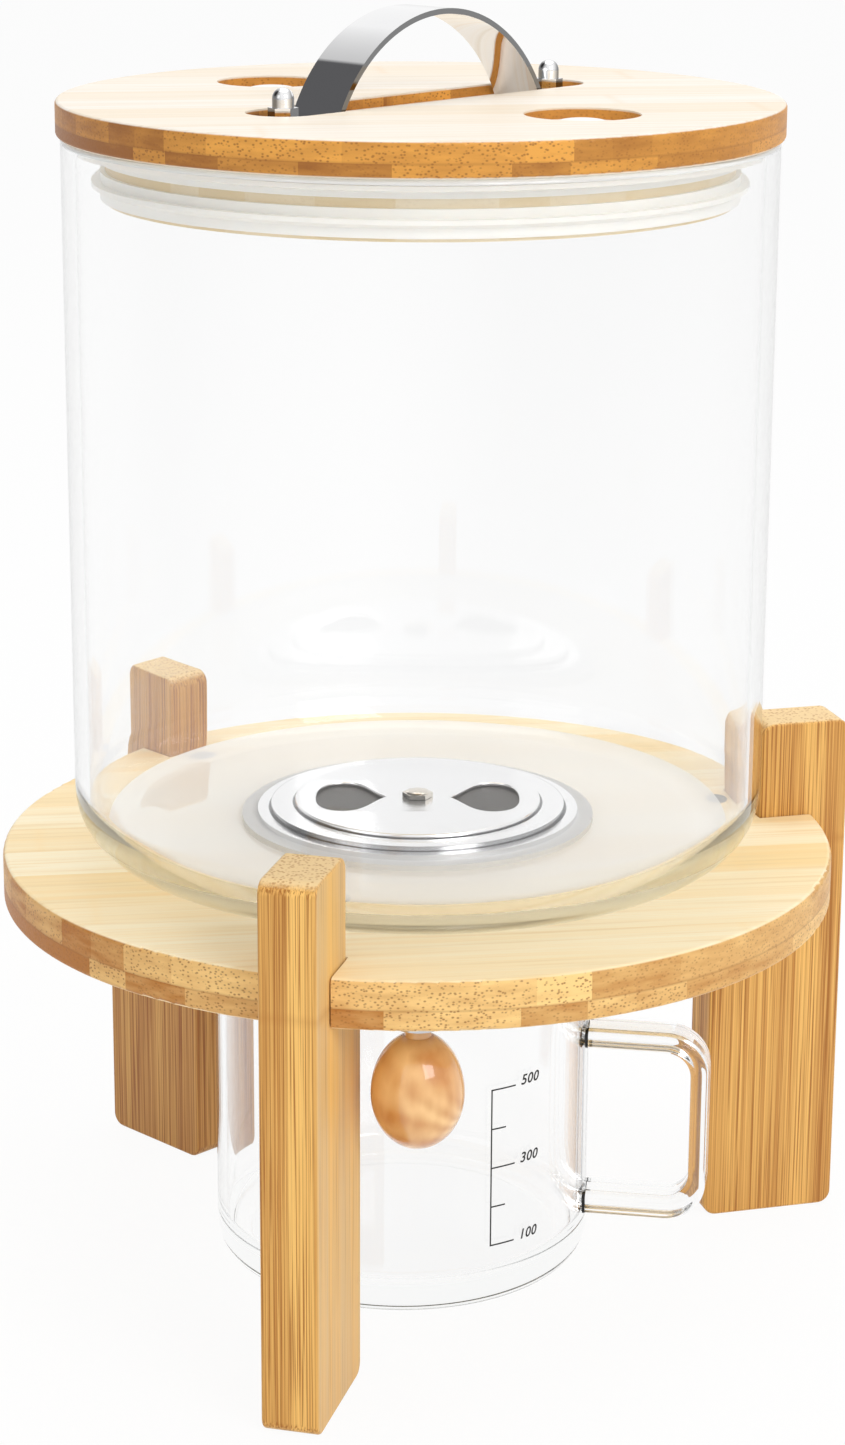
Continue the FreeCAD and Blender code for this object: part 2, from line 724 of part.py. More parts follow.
def lid_plug():
    """Disc under the lid that drops into the canister's mouth, grooved for two seals."""
    plug = turned("lid_plug_blank", [
        ("0", "plug_bottom"),
        ("plug_radius", "plug_bottom"),
        ("plug_radius", "lower_groove_bottom"),
        ("groove_floor", "lower_groove_bottom"),
        ("groove_floor", "lower_groove_top"),
        ("plug_radius", "lower_groove_top"),
        ("plug_radius", "upper_groove_bottom"),
        ("groove_floor", "upper_groove_bottom"),
        ("groove_floor", "upper_groove_top"),
        ("plug_radius", "upper_groove_top"),
        ("plug_radius", "jar_rim"),
        ("0", "jar_rim"),
    ])
    tools = []
    for number, spot in enumerate(handle_places(), start=1):
        bottom = "jar_rim - handle_screw_head_height - handle_head_clearance"
        radius = "handle_screw_head_radius + handle_head_clearance"
        tools.append(cylinder(f"handle_head_room_{number}", radius, bottom, "jar_rim", *spot))
    for number, spot in enumerate(recess_places(), start=1):
        tools.append(plug_screw(f"plug_pilot_{number}", "screw_clearance", spot))
    return cut("lid_plug", plug, *tools)


def lip_seal(name, bottom, top, lip_radius):
    """Silicone ring seated in a groove, with a thin lip sloping up and out."""
    bead = "plug_radius + seal_bead"
    middle = f"(({bottom}) + ({top})) / 2"
    return turned(name, [
        ("groove_floor", bottom),
        (bead, bottom),
        (bead, f"{middle} - seal_lip_thickness"),
        (lip_radius, middle),
        (lip_radius, f"{middle} + seal_lip_thickness"),
        (bead, f"{middle} + seal_lip_thickness"),
        (bead, top),
        ("groove_floor", top),
    ])


def handle_strap():
    """Bent steel strap: two flat feet and a round arch."""
    across = FreeCAD.Vector(1, 0, 0)
    arch_parts = []
    for name, radius in (("strap_outer", "handle_arch_radius"), ("strap_inner", "handle_arch_inner")):
        drum = doc.addObject("Part::Cylinder", name)
        bind(drum, Radius=radius, Height="handle_width")
        arch_parts.append(place(drum, "0", "handle_width / 2", "handle_arch_centre", "90", across))
    band = cut("strap_band", *arch_parts)
    above = doc.addObject("Part::Box", "strap_above")
    bind(above, Length="2 * handle_arch_radius", Width="handle_width", Height="2 * handle_arch_radius")
    place(above, "-handle_arch_radius", "-handle_width / 2", "handle_floor")
    arch = doc.addObject("Part::Common", "strap_arch")
    arch.Base = band
    arch.Tool = above
    feet = []
    holes = []
    foot_length = "handle_foot_tip - handle_arch_foot"
    for name, start in (("strap_foot_1", "handle_arch_foot"), ("strap_foot_2", "-handle_foot_tip")):
        feet.append(block(name, foot_length, "handle_width", "handle_floor", "handle_foot_top", start))
    for name, sign in (("strap_hole_1", ""), ("strap_hole_2", "-")):
        holes.append(cylinder(
            name, "handle_screw_radius + screw_clearance", "handle_floor", "handle_foot_top",
            f"{sign}handle_nut_offset",
        ))
    strap = cut("handle_strap", fuse("strap_blank", arch, *feet), *holes)
    return place(strap, turn="handle_turn")


def handle_screw(name, spot):
    """Pan-head screw up through the lid and the handle's foot."""
    head_bottom = "jar_rim - handle_screw_head_height"
    head = cylinder(f"{name}_head", "handle_screw_head_radius", head_bottom, "jar_rim", *spot)
    top = "handle_foot_top + cap_nut_thread_depth - screw_clearance"
    shank = cylinder(f"{name}_shank", "handle_screw_radius", "jar_rim", top, *spot)
    return fuse(name, head, shank)


def cap_nut(name, spot):
    """Hexagon nut with a domed cap."""
    hex_top = "handle_foot_top + cap_nut_hex_height"
    dome_level = "handle_foot_top + cap_nut_height - cap_nut_dome_radius"
    prism = hexagon(f"{name}_hex", "cap_nut_flats", "handle_foot_top", hex_top, *spot)
    neck = cylinder(f"{name}_neck", "cap_nut_dome_radius", hex_top, dome_level, *spot)
    dome = doc.addObject("Part::Sphere", f"{name}_dome")
    bind(dome, Radius="cap_nut_dome_radius")
    place(dome, *spot, dome_level)
    top = "handle_foot_top + cap_nut_thread_depth"
    hole = cylinder(f"{name}_thread", "handle_screw_radius + screw_clearance", "handle_foot_top", top, *spot)
    return cut(name, fuse(f"{name}_blank", prism, neck, dome), hole)


def button(name, spot):
    """Low domed cap that covers a screw head in a recess."""
    edge_top = "recess_floor + button_edge"
    disc = cylinder(f"{name}_disc", "button_radius", "recess_floor", edge_top, *spot)
    crown = doc.addObject("Part::Ellipsoid", f"{name}_crown")
    crown.Angle1 = 0
    crown.Angle2 = 90
    bind(crown, Radius1="button_crown", Radius2="button_radius", Radius3="button_radius")
    place(crown, *spot, edge_top)
    return fuse(name, disc, crown)


def measuring_cup():
    """Straight glass cup with a thick base and a squared loop handle fused to its side."""
    cup = turned("cup_shell", [
        ("0", "0"),
        ("cup_radius", "0"),
        ("cup_radius", "cup_height"),
        ("cup_inner", "cup_height"),
        ("cup_inner", "cup_base"),
        ("0", "cup_base"),
    ])
    rounded(cup, "cup_foot", "cup_foot_round", ring_edge(("cup_radius", "0")))
    rounded(cup, "cup_inside", "cup_floor_round", ring_edge(("cup_inner", "cup_base")))
    rim = ring_edge(("cup_radius", "cup_height"), ("cup_inner", "cup_height"))
    rounded(cup, "cup_lip", "cup_rim_round", rim)
    grip = padded("cup_grip", "XZ_Plane", [
        ("grip_inner", "grip_bottom"),
        ("grip_outer", "grip_bottom"),
        ("grip_outer", "grip_top"),
        ("grip_inner", "grip_top"),
        ("grip_inner", "grip_window_top"),
        ("grip_window", "grip_window_top"),
        ("grip_window", "grip_window_bottom"),
        ("grip_inner", "grip_window_bottom"),
    ], "grip_width")
    outer_corners = cross_edge(("grip_outer", "grip_bottom"), ("grip_outer", "grip_top"))
    rounded(grip, "grip_outer_corners", "grip_outer_round", outer_corners)
    inner_corners = cross_edge(("grip_window", "grip_window_top"), ("grip_window", "grip_window_bottom"))
    rounded(grip, "grip_inner_corners", "grip_inner_round", inner_corners)
    root = size("grip_inner")
    half = size("grip_width") / 2

    def side_edge(edge):
        middle = edge.valueAt((edge.FirstParameter + edge.LastParameter) / 2)
        return abs(abs(middle.y) - half) < PATH_TOLERANCE and middle.x > root + PATH_TOLERANCE

    rounded(grip, "grip_edges", "grip_edge", side_edge)
    whole = fuse("measuring_cup", cup, grip)
    return place(whole, "cup_offset_x", "cup_offset_y", "0", "grip_turn")


def model():
    """Every piece of the object, in the order it is put together."""
    pieces = [shelf_board()]
    pieces += [leg(name, turn) for name, turn in LEG_TURNS.items()]
    screws = [leg_screw(f"{name}_screw", "0", turn) for name, turn in LEG_TURNS.items()]
    pieces.append(group("leg_screws", screws))
    pieces += [glass_jar(), jar_gasket(), valve_body(), shelf_gasket(), clamp_nut()]
    pieces.append(ported_disc("valve_plate", "plate_radius", "ring_top", "plate_top", "0"))
    pieces.append(ported_disc("rotor_disc", "rotor_radius", "rotor_bottom", "rotor_top", "-valve_travel"))
    pieces.append(ported_disc("rotor_seal", "rotor_radius", "rotor_top", "rotor_seal_top", "-valve_travel"))
    pieces += [centre_screw(), spindle(), lever_arm(), lever_nut(), knob(), knob_screw()]
    pieces += [lid_board(), lid_plug()]
    pieces.append(lip_seal(
        "seal_upper", "upper_groove_bottom", "upper_groove_top", "jar_inner - seal_wall_clearance",
    ))
    pieces.append(lip_seal(
        "seal_lower", "lower_groove_bottom", "lower_groove_top", "jar_inner - seal_lower_lip_gap",
    ))
    spots = list(enumerate(recess_places(), start=1))
    pieces.append(group("plug_screws", [plug_screw(f"plug_screw_{n}", "0", spot) for n, spot in spots]))
    pieces.append(group("lid_buttons", [button(f"lid_button_{n}", spot) for n, spot in spots]))
    pieces.append(handle_strap())
    spots = list(enumerate(handle_places(), start=1))
    pieces.append(group("handle_screws", [handle_screw(f"handle_screw_{n}", spot) for n, spot in spots]))
    pieces.append(group("handle_nuts", [cap_nut(f"handle_nut_{n}", spot) for n, spot in spots]))
    pieces.append(measuring_cup())
    return pieces


def export(pieces):
    """Checks every object of the document, then writes each piece to its own file."""
    doc.recompute()
    faults = [thing.Name for thing in doc.Objects if {"Invalid", "Error"} & set(thing.State)]
    faults += [piece.Label for piece in pieces if piece.Shape.isNull() or not piece.Shape.isValid()]
    if faults:
        raise RuntimeError(f"these did not build: {faults}")
    os.makedirs("parts", exist_ok=True)
    for piece in pieces:
        piece.Shape.exportStep(f"parts/{piece.Label}.step")
        print(piece.Label, len(piece.Shape.Solids), round(piece.Shape.Volume, 1))


export(model())
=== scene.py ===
"""Looks of a glass dispenser canister on a bamboo stand, laid out as an add-on and run as a script."""
import json
import math

import bmesh
import bpy
from bpy.props import FloatProperty, FloatVectorProperty, IntProperty, PointerProperty
from mathutils import Matrix, Vector


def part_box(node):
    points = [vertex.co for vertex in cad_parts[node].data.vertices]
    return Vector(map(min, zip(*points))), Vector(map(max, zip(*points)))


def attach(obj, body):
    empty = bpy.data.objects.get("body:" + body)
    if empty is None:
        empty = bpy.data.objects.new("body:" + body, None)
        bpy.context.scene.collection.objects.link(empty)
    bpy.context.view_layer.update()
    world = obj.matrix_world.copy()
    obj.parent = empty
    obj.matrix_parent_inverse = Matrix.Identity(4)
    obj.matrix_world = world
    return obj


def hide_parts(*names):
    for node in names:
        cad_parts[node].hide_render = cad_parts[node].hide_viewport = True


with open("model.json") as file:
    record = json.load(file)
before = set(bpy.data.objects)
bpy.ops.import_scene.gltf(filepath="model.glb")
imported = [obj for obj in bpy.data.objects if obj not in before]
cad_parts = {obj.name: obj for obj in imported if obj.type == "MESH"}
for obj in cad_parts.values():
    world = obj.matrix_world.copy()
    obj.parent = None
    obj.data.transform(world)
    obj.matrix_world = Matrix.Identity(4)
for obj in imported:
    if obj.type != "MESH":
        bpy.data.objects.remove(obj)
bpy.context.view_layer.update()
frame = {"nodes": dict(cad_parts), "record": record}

bl_info = {
    "name": "Dispenser canister looks",
    "version": (1, 0, 0),
    "blender": (4, 5, 0),
    "location": "3D View > Sidebar > Dispenser",
    "description": "Finishes a glass dispenser canister, its bamboo stand, valve and measuring cup",
    "category": "Object",
}

BODIES = frame["record"]["behaviour"]["bodies"]
SLOTS = {part["node"]: part["material_slot"] for part in frame["record"]["subparts"]}

# Faces that meet at more than this angle keep a crisp edge.
CREASE = math.radians(32)
# Points closer than this become one. This and the next three values are in metres.
WELD = 1e-6
# A hair's breadth by which glass is sunk into, or kept off, what it touches.
GLASS_EASE = 0.00002
# Distance of a section's extra points from the ends of its straight runs.
SUPPORT = 0.0004
# How far the floor is raised, so that it reaches into the cup's base and shows through it.
FLOOR_LIFT = 0.00004
# Faces whose normal rises more than this count as the canister's level floor.
LEVEL_FACE = 0.8

# Pattern frequencies per metre along x, y and z.
BOARD_FINE = (22, 1500, 1500)
BOARD_MIDDLE = (13, 420, 420)
BOARD_BROAD = (5, 190, 190)
RIM_SMEAR = (90, 90, 420)
RIM_DOTS = (820, 820, 1150)
LEG_FINE = (1900, 1900, 7)
LEG_DASH = (2200, 2200, 17)
LEG_BROAD = (150, 150, 3)
KNOB_FLOW = (55, 55, 55)
KNOB_FINE = (420, 420, 130)
KNOB_CLOUD = (95, 95, 60)
GLASS_SHADES = (11, 11, 0.8)
GLASS_WAVES = (14, 14, 5)
STEEL_LINES = (900, 900, 60)
STEEL_SMUDGES = (45, 45, 45)
MOULD_CLOUDS = (60, 60, 60)
MOULD_SKIN = (2600, 2600, 2600)
INK_GRAIN = (1800, 1800, 1800)
# Pattern frequencies per metre that are the same every way, or run along one measure.
LEG_DOTS = 900.0
LATHE_RINGS = 4200.0

# Mirror strength of oiled bamboo, and the step between the random rows of a board's plies.
WOOD_GLOSS = 0.28
PLY_ROWS = 7.0
# Refractive index of silicone and plastic, and how far light spreads in them, in metres.
MOULD_INDEX = 1.41
MOULD_SPREAD = (0.004, 0.0035, 0.003)
# Painted shadow lines at the joints between turned steel pieces, and the darkest tone of thick ink.
JOINT_SHADOW_TONE = (0.05, 0.05, 0.055)
INK_TONE = (0.05, 0.05, 0.05)
WHITE = (1.0, 1.0, 1.0)

# Sides of the centre screw and of the cap nuts that carry a painted dark reflection.
SCREW_PAINTED_DARK_SIDE = (0.3, 0.95, 0)
NUT_PAINTED_DARK_SIDE = (1.0, 0.2, 0)

# Direction and tone of the dark card that polished steel mirrors.
CARD_WAY = (-0.77, 0.22, 0.54)
CARD_TONE = (0.03, 0.03, 0.035)

# Sensor's longer side in millimetres, and the nearest distance that the camera sees in metres.
SENSOR = 36.0
NEAREST = 0.05


def colour(name, description, default):
    """A colour that a user may change."""
    return FloatVectorProperty(
        name=name, description=description, default=default, subtype="COLOR", size=3, min=0, max=1)


def length(name, description, default):
    """A length that a user may change, in metres."""
    return FloatProperty(name=name, description=description, default=default, unit="LENGTH", precision=5)


def place(name, description, default):
    """A place that a user may change, in metres."""
    return FloatVectorProperty(name=name, description=description, default=default, unit="LENGTH", size=3)


def angle(name, description, degrees):
    """An angle that a user may change, given here in degrees."""
    return FloatProperty(name=name, description=description, default=math.radians(degrees), subtype="ANGLE")


def power(name, description, default):
    """The power of a lamp, in watts."""
    return FloatProperty(name=name, description=description, default=default, subtype="POWER")


def number(name, description, default):
    """A plain number that a user may change."""
    return FloatProperty(name=name, description=description, default=default)


def count(name, description, default):
    """A whole number that a user may change."""
    return IntProperty(name=name, description=description, default=default)


class BambooLooks(bpy.types.PropertyGroup):
    """Colours, strips and joints of the bamboo, the painted shade of the legs, and the colours of the knob.
    """
    lid_pale: colour("Lid pale", "Palest strips on the lid's top", (0.86, 0.80, 0.72))
    lid_warm: colour("Lid warm", "Warmest strips on the lid's top", (0.82, 0.71, 0.56))
    lid_rim_light: colour("Lid rim light", "Light blocks round the lid's rim", (0.80, 0.375, 0.070))
    lid_rim_dark: colour("Lid rim dark", "Dark blocks round the lid's rim", (0.34, 0.125, 0.024))
    shelf_pale: colour("Shelf pale", "Palest strips on the shelf's top", (1.0, 0.89, 0.64))
    shelf_warm: colour("Shelf warm", "Warmest strips on the shelf's top", (0.96, 0.73, 0.38))
    shelf_rim_light: colour("Shelf rim light", "Light blocks round the shelf's rim", (0.98, 0.66, 0.26))
    shelf_rim_dark: colour("Shelf rim dark", "Dark blocks round the shelf's rim", (0.48, 0.18, 0.030))
    plug_pale: colour("Plug pale", "Palest strips of the lid's plug", (0.90, 0.80, 0.62))
    plug_warm: colour("Plug warm", "Warmest strips of the lid's plug", (0.80, 0.64, 0.38))
    leg_light: colour("Leg light", "Light fibres of the legs", (0.93, 0.56, 0.165))
    leg_dark: colour("Leg dark", "Dark fibres of the legs", (0.43, 0.155, 0.024))
    leg_face: colour("Leg face", "Smooth broad face of a leg", (0.71, 0.50, 0.26))
    leg_end: colour("Leg end", "Sawn ends of the legs", (0.88, 0.65, 0.34))
    leg_streak: colour("Leg streak", "Dark dashes in the legs", (0.38, 0.14, 0.024))
    # Painted shade: a darker colour mixed into a leg's sides in place of the shade that the leg lies in.
    leg_shade: colour("Leg shade", "Deeper tone of a darker leg", (0.21, 0.05, 0.065))
    streak: colour("Streak", "Dark vessels in the bamboo", (0.30, 0.11, 0.025))
    knob_light: colour("Knob light", "Light grain of the knob", (0.92, 0.57, 0.24))
    knob_dark: colour("Knob dark", "Dark grain of the knob", (0.62, 0.26, 0.065))
    grain_turn: angle("Grain turn", "Direction of the boards' strips, from the right", -8)
    strip_width: length("Strip width", "Width of one bamboo strip", 0.021)
    leg_strip: length("Leg strip", "Width of one strip in a leg", 0.0045)
    joint_span: length("Joint span", "Distance between a strip's growth joints", 0.23)
    leg_joint_span: length("Leg joint span", "Distance between growth joints in a leg", 0.19)
    rim_blocks: number("Rim blocks", "Strip ends round a board's rim", 17)
    shelf_ply: number("Shelf ply", "Share of the shelf's thickness in its lower ply", 0.42)
    lid_ply: number("Lid ply", "Share of the lid's thickness in its lower ply", 0.40)
    rim_dotting: number("Rim dotting", "How strongly a board's rim is dotted", 1.0)
    plug_dotting: number("Plug dotting", "How strongly the plug's rim is dotted", 0.1)
    front_calm: number("Front calm", "How calm the front leg's broad faces are", 0.85)
    # How much painted shade is mixed into the right leg and into the left leg.
    right_depth: number("Right depth", "How far the right leg's tone is deepened", 0.06)
    left_depth: number("Left depth", "How far the left leg's tone is deepened", 0.3)


class GlassLooks(bpy.types.PropertyGroup):
    """Tint, veil and index of the glass."""
    tint: colour("Glass tint", "What thick glass leaves of white light", (0.58, 0.68, 0.64))
    shade: colour("Glass shade", "What the duller parts of a wall let through", (0.978, 0.978, 0.978))
    depth: number("Tint depth", "How fast the tint builds up, per metre", 1.4)
    veil: number("Veil", "Share of light that the canister's floor scatters", 0.68)
    bend: number("Index", "Refractive index of the glass", 1.45)


class JarSizes(bpy.types.PropertyGroup):
    """Wall, floor and rounds of the canister."""
    wall: length("Wall", "Thickness of the wall", 0.004)
    base: length("Base", "Thickness of the floor", 0.007)
    hole: length("Hole", "Radius of the hole in the floor", 0.037)
    foot_round: length("Foot round", "Radius outside the foot", 0.018)
    floor_round: length("Floor round", "Radius inside the foot", 0.013)
    rim_round: length("Rim round", "Radius on the rim", 0.0015)
    around: count("Segments", "Segments round the canister", 160)
    foot_steps: count("Foot steps", "Segments of each round at the foot", 20)
    rim_steps: count("Rim steps", "Segments of each round on the rim", 8)


class FittingLooks(bpy.types.PropertyGroup):
    """Colours of metal, plastic, silicone and ink, and the direction of the strap, which sets where its
    painted dark reflection falls.
    """
    steel: colour("Steel", "Satin steel", (0.62, 0.62, 0.63))
    plate: colour("Valve steel", "Bright steel of the valve", (0.90, 0.90, 0.905))
    screw: colour("Screw", "Polished centre screw", (0.74, 0.69, 0.62))
    dull: colour("Dull steel", "Screws in the shelf", (0.20, 0.20, 0.205))
    # The strap's direction sets which of its faces carry a painted dark reflection.
    strap_turn: angle("Strap turn", "Direction of the strap handle", 47)
    plastic: colour("Plastic", "White plastic", (0.88, 0.88, 0.86))
    seal: colour("Seal", "Translucent white silicone", (0.93, 0.915, 0.87))
    gasket: colour("Gasket", "Grey silicone", (0.70, 0.71, 0.72))
    shutter: colour("Shutter", "Dark silicone behind the valve's ports", (0.085, 0.08, 0.075))
    ink: colour("Ink", "Printed scale", (0.012, 0.012, 0.013))


class ScaleSizes(bpy.types.PropertyGroup):
    """The printed scale on the cup."""
    first_level: length("First level", "Height of the lowest mark", 0.0211)
    step: length("Step", "Height between marks", 0.01182)
    marks: count("Marks", "Number of marks", 5)
    mark_steps: count("Mark steps", "Points along a mark, so that it bends round the cup", 14)
    mark_volume: count("Mark volume", "Millilitres of the lowest mark and between marks", 100)
    azimuth: angle("Azimuth", "Where the scale's line stands, from the front", 27.2)
    long_mark: length("Long mark", "Length of a numbered mark", 0.0079)
    short_mark: length("Short mark", "Length of a plain mark", 0.0047)
    stroke: length("Stroke", "Width of a printed line", 0.00044)
    ink_depth: length("Ink depth", "How far the ink stands proud", 0.00006)
    numeral: length("Numeral size", "Type size of the numerals", 0.0042)
    numeral_gap: length("Numeral gap", "Space between a mark and its numeral", 0.0018)
    slant: number("Slant", "Slant of the numerals", 0.22)
    spacing: number("Spacing", "Width of a numeral's place, as a share of the usual", 1.08)


class PlateSizes(bpy.types.PropertyGroup):
    """The valve's pressed plate."""
    apex: length("Port point", "Distance of a port's point from the centre", 0.0092)
    shoulder: length("Port shoulder", "Distance of a port's widest place from the centre", 0.0225)
    tip: length("Port tip", "Distance of a port's round end from the centre", 0.0292)
    half_width: length("Port half width", "Half of a port's width", 0.0134)
    edge: length("Pressed edge", "Radius of the plate's pressed edges", 0.00045)
    hole_share: number("Hole share", "Centre hole's share of the screw's head", 0.55)
    # Radii of the painted shadow lines at the joints just outside the plate.
    inner_line: length("Inner line", "How far outside the plate its own dark joint lies", 0.0003)
    outer_line: length("Outer line", "How far outside the plate the next dark joint lies", 0.0072)
    port_steps: count("Port steps", "Segments between the points of a port", 24)
    ring_steps: count("Ring steps", "Segments of a quarter of a ring", 32)
    edge_steps: count("Edge steps", "Segments of the pressed edges", 4)


class StageLooks(bpy.types.PropertyGroup):
    """Camera, lamps and floor."""
    focal_pixels: number("Focal length", "Lens, in pixels of the photograph", 3461.97)
    image_height: number("Image height", "Height of the picture, in pixels", 1445)
    camera_place: place("Camera place", "Where the camera stands", (-0.00401, -0.95096, 0.43970))
    pitch: angle("Pitch", "Tilt below level", 16.37)
    yaw: angle("Yaw", "Turn to the right", 0.32)
    roll: angle("Roll", "Roll of the camera", 0.30)
    sky: number("Sky", "Strength of the even light", 0.55)
    key_power: power("Key", "Power of the main lamp", 21.0)
    key_place: place("Key place", "Where the main lamp hangs", (1.1, -1.7, 1.4))
    key_size: length("Key size", "Side of the main lamp", 1.1)
    fill_power: power("Fill", "Power of the side lamp", 2.5)
    fill_place: place("Fill place", "Where the side lamp hangs", (-1.5, -1.2, 1.0))
    fill_size: length("Fill size", "Side of the side lamp", 1.0)
    top_power: power("Top", "Power of the lamp overhead", 13.5)
    top_place: place("Top place", "Where the lamp overhead hangs", (0.1, 0.3, 1.8))
    top_size: length("Top size", "Side of the lamp overhead", 1.4)
    aim: place("Aim", "What the lamps point at", (0, 0, 0.2))
    floor: colour("Floor", "Pale floor", (0.93, 0.93, 0.93))
    floor_reach: length("Floor reach", "Distance from the middle of the floor to its sides", 12.0)
    floor_glow: number("Floor glow", "Share of plain white in the seen floor", 0.93)


class Bench:
    """A node tree in the making: numbers, colours and sockets feed nodes alike."""

    def __init__(self, tree):
        self.tree = tree

    def feed(self, socket, value):
        """Links a socket or sets a value."""
        if isinstance(value, bpy.types.NodeSocket):
            self.tree.links.new(value, socket)
        elif hasattr(socket.default_value, "__len__") and len(socket.default_value) == 4:
            socket.default_value = (*value, 1.0)
        else:
            socket.default_value = value

    def node(self, kind, settings=None, **inputs):
        """A new node, with its inputs by name and an underscore for each space."""
        made = self.tree.nodes.new(kind)
        for name, value in (settings or {}).items():
            setattr(made, name, value)
        for name, value in inputs.items():
            self.feed(made.inputs[name.replace("_", " ")], value)
        return made

    def math(self, operation, first, second=0.0):
        """One operation on two numbers."""
        made = self.node("ShaderNodeMath", {"operation": operation})
        self.feed(made.inputs[0], first)
        self.feed(made.inputs[1], second)
        return made.outputs[0]

    def apart(self, first, second):
        """How far two numbers are apart."""
        return self.math("ABSOLUTE", self.math("SUBTRACT", first, second))

    def weigh(self, *pairs):
        """The sum of values, each times its weight."""
        first, *others = (self.math("MULTIPLY", value, weight) for value, weight in pairs)
        for other in others:
            first = self.math("ADD", first, other)
        return first

    def blend(self, share, first, second):
        """A colour between two, by the second one's share."""
        made = self.node("ShaderNodeMix", {"data_type": "RGBA"})
        self.feed(made.inputs[0], share)
        self.feed(made.inputs[6], first)
        self.feed(made.inputs[7], second)
        return made.outputs[2]

    def range(self, value, low, high, start=0.0, end=1.0):
        """A value that goes from start to end while another goes from low to high."""
        made = self.node("ShaderNodeMapRange")
        for index, feed in enumerate((value, low, high, start, end)):
            self.feed(made.inputs[index], feed)
        return made.outputs[0]

    def split(self, vector):
        """The three parts of a vector."""
        return self.node("ShaderNodeSeparateXYZ", Vector=vector).outputs

    def join(self, x, y, z):
        """A vector from its three parts."""
        return self.node("ShaderNodeCombineXYZ", X=x, Y=y, Z=z).outputs[0]

    def vector_math(self, operation, first, second=None):
        """One operation on one vector or on a vector and a fixed one."""
        made = self.node("ShaderNodeVectorMath", {"operation": operation})
        self.feed(made.inputs[0], first)
        if second is not None:
            made.inputs[1].default_value = second
        return made.outputs


class Finish(Bench):
    """A material with one principled surface, patterned on object coordinates."""

    def __init__(self, name, roughness=0.5, metallic=0.0):
        self.material = bpy.data.materials.new(name)
        self.material.use_nodes = True
        super().__init__(self.material.node_tree)
        self.tree.nodes.clear()
        self.output = self.node("ShaderNodeOutputMaterial")
        self.surface = self.node("ShaderNodeBsdfPrincipled", Roughness=roughness, Metallic=metallic)
        self.tree.links.new(self.surface.outputs[0], self.output.inputs["Surface"])
        self.place = self.node("ShaderNodeTexCoord").outputs["Object"]

    def set(self, **inputs):
        """Feeds the surface's inputs by name, with an underscore for each space."""
        for name, value in inputs.items():
            self.feed(self.surface.inputs[name.replace("_", " ")], value)

    def turned_place(self, turn):
        """The object's coordinates, turned about the vertical axis."""
        made = self.node("ShaderNodeMapping", Vector=self.place)
        made.inputs["Rotation"].default_value = (0, 0, turn)
        return made.outputs[0]

    def stretched(self, vector, scale):
        """Coordinates with a scale of their own for each axis."""
        made = self.node("ShaderNodeMapping", Vector=vector)
        made.inputs["Scale"].default_value = scale
        return made.outputs[0]

    def streaks(self, vector, scale, detail=3.0):
        """Noise, drawn out by a scale for each axis."""
        spread = self.stretched(vector, scale)
        return self.node("ShaderNodeTexNoise", Vector=spread, Scale=1.0, Detail=detail).outputs[0]

    def dots(self, vector, scale=1.0):
        """Distance from the nearest of many scattered points."""
        return self.node("ShaderNodeTexVoronoi", Vector=vector, Scale=scale).outputs["Distance"]

    def chance(self, first, second):
        """A fixed random tone for a pair of whole numbers."""
        pair = self.join(first, second, 0.0)
        return self.node("ShaderNodeTexWhiteNoise", {"noise_dimensions": "2D"}, Vector=pair).outputs[0]

    def relief(self, height, strength, distance):
        """A fine relief on the surface."""
        bump = self.node("ShaderNodeBump", Height=height, Strength=strength, Distance=distance)
        self.feed(self.surface.inputs["Normal"], bump.outputs[0])

    def along_normal(self, direction):
        """How far the surface faces along a direction, from -1 to 1."""
        normal = self.node("ShaderNodeNewGeometry").outputs["Normal"]
        return self.vector_math("DOT_PRODUCT", normal, direction)["Value"]

    def steepness(self):
        """How far the surface faces up or down, from 0 to 1."""
        return self.math("ABSOLUTE", self.along_normal((0, 0, 1)))


def looks():
    """The settings on the scene."""
    return bpy.context.scene.dispenser


def darker(tint, share):
    """A share of a colour."""
    return [part * share for part in tint]


def board_top(made, along, ply, fine, tones, joint_tone):
    """Strips with a tone each, long grain, growth joints and thin glue lines."""
    bamboo = looks().bamboo
    pale, warm = tones
    x, y, _ = made.split(along)
    strips = made.math("DIVIDE", y, bamboo.strip_width)
    chance = made.chance(made.math("FLOOR", strips), made.math("MULTIPLY", ply, PLY_ROWS))
    broad = made.streaks(along, BOARD_BROAD)
    tone = made.weigh((chance, 0.45), (broad, 0.55))
    top = made.blend(made.range(tone, 0.28, 0.68), pale, warm)
    top = made.blend(made.range(fine, 0.50, 0.66, 0.0, 0.40), top, warm)
    grain = made.streaks(along, BOARD_MIDDLE)
    top = made.blend(made.range(grain, 0.52, 0.72, 0.0, 0.65), top, darker(warm, 0.9))
    spans = made.math("DIVIDE", x, bamboo.joint_span)
    shifted = made.math("ADD", spans, made.math("MULTIPLY", chance, 5.0))
    joint = made.apart(made.math("FRACT", shifted), 0.5)
    top = made.blend(made.range(joint, 0.0, 0.010, 0.13, 0.0), top, joint_tone)
    glue = made.apart(made.math("FRACT", strips), 0.5)
    return made.blend(made.range(glue, 0.488, 0.5, 0.0, 0.20), top, joint_tone)


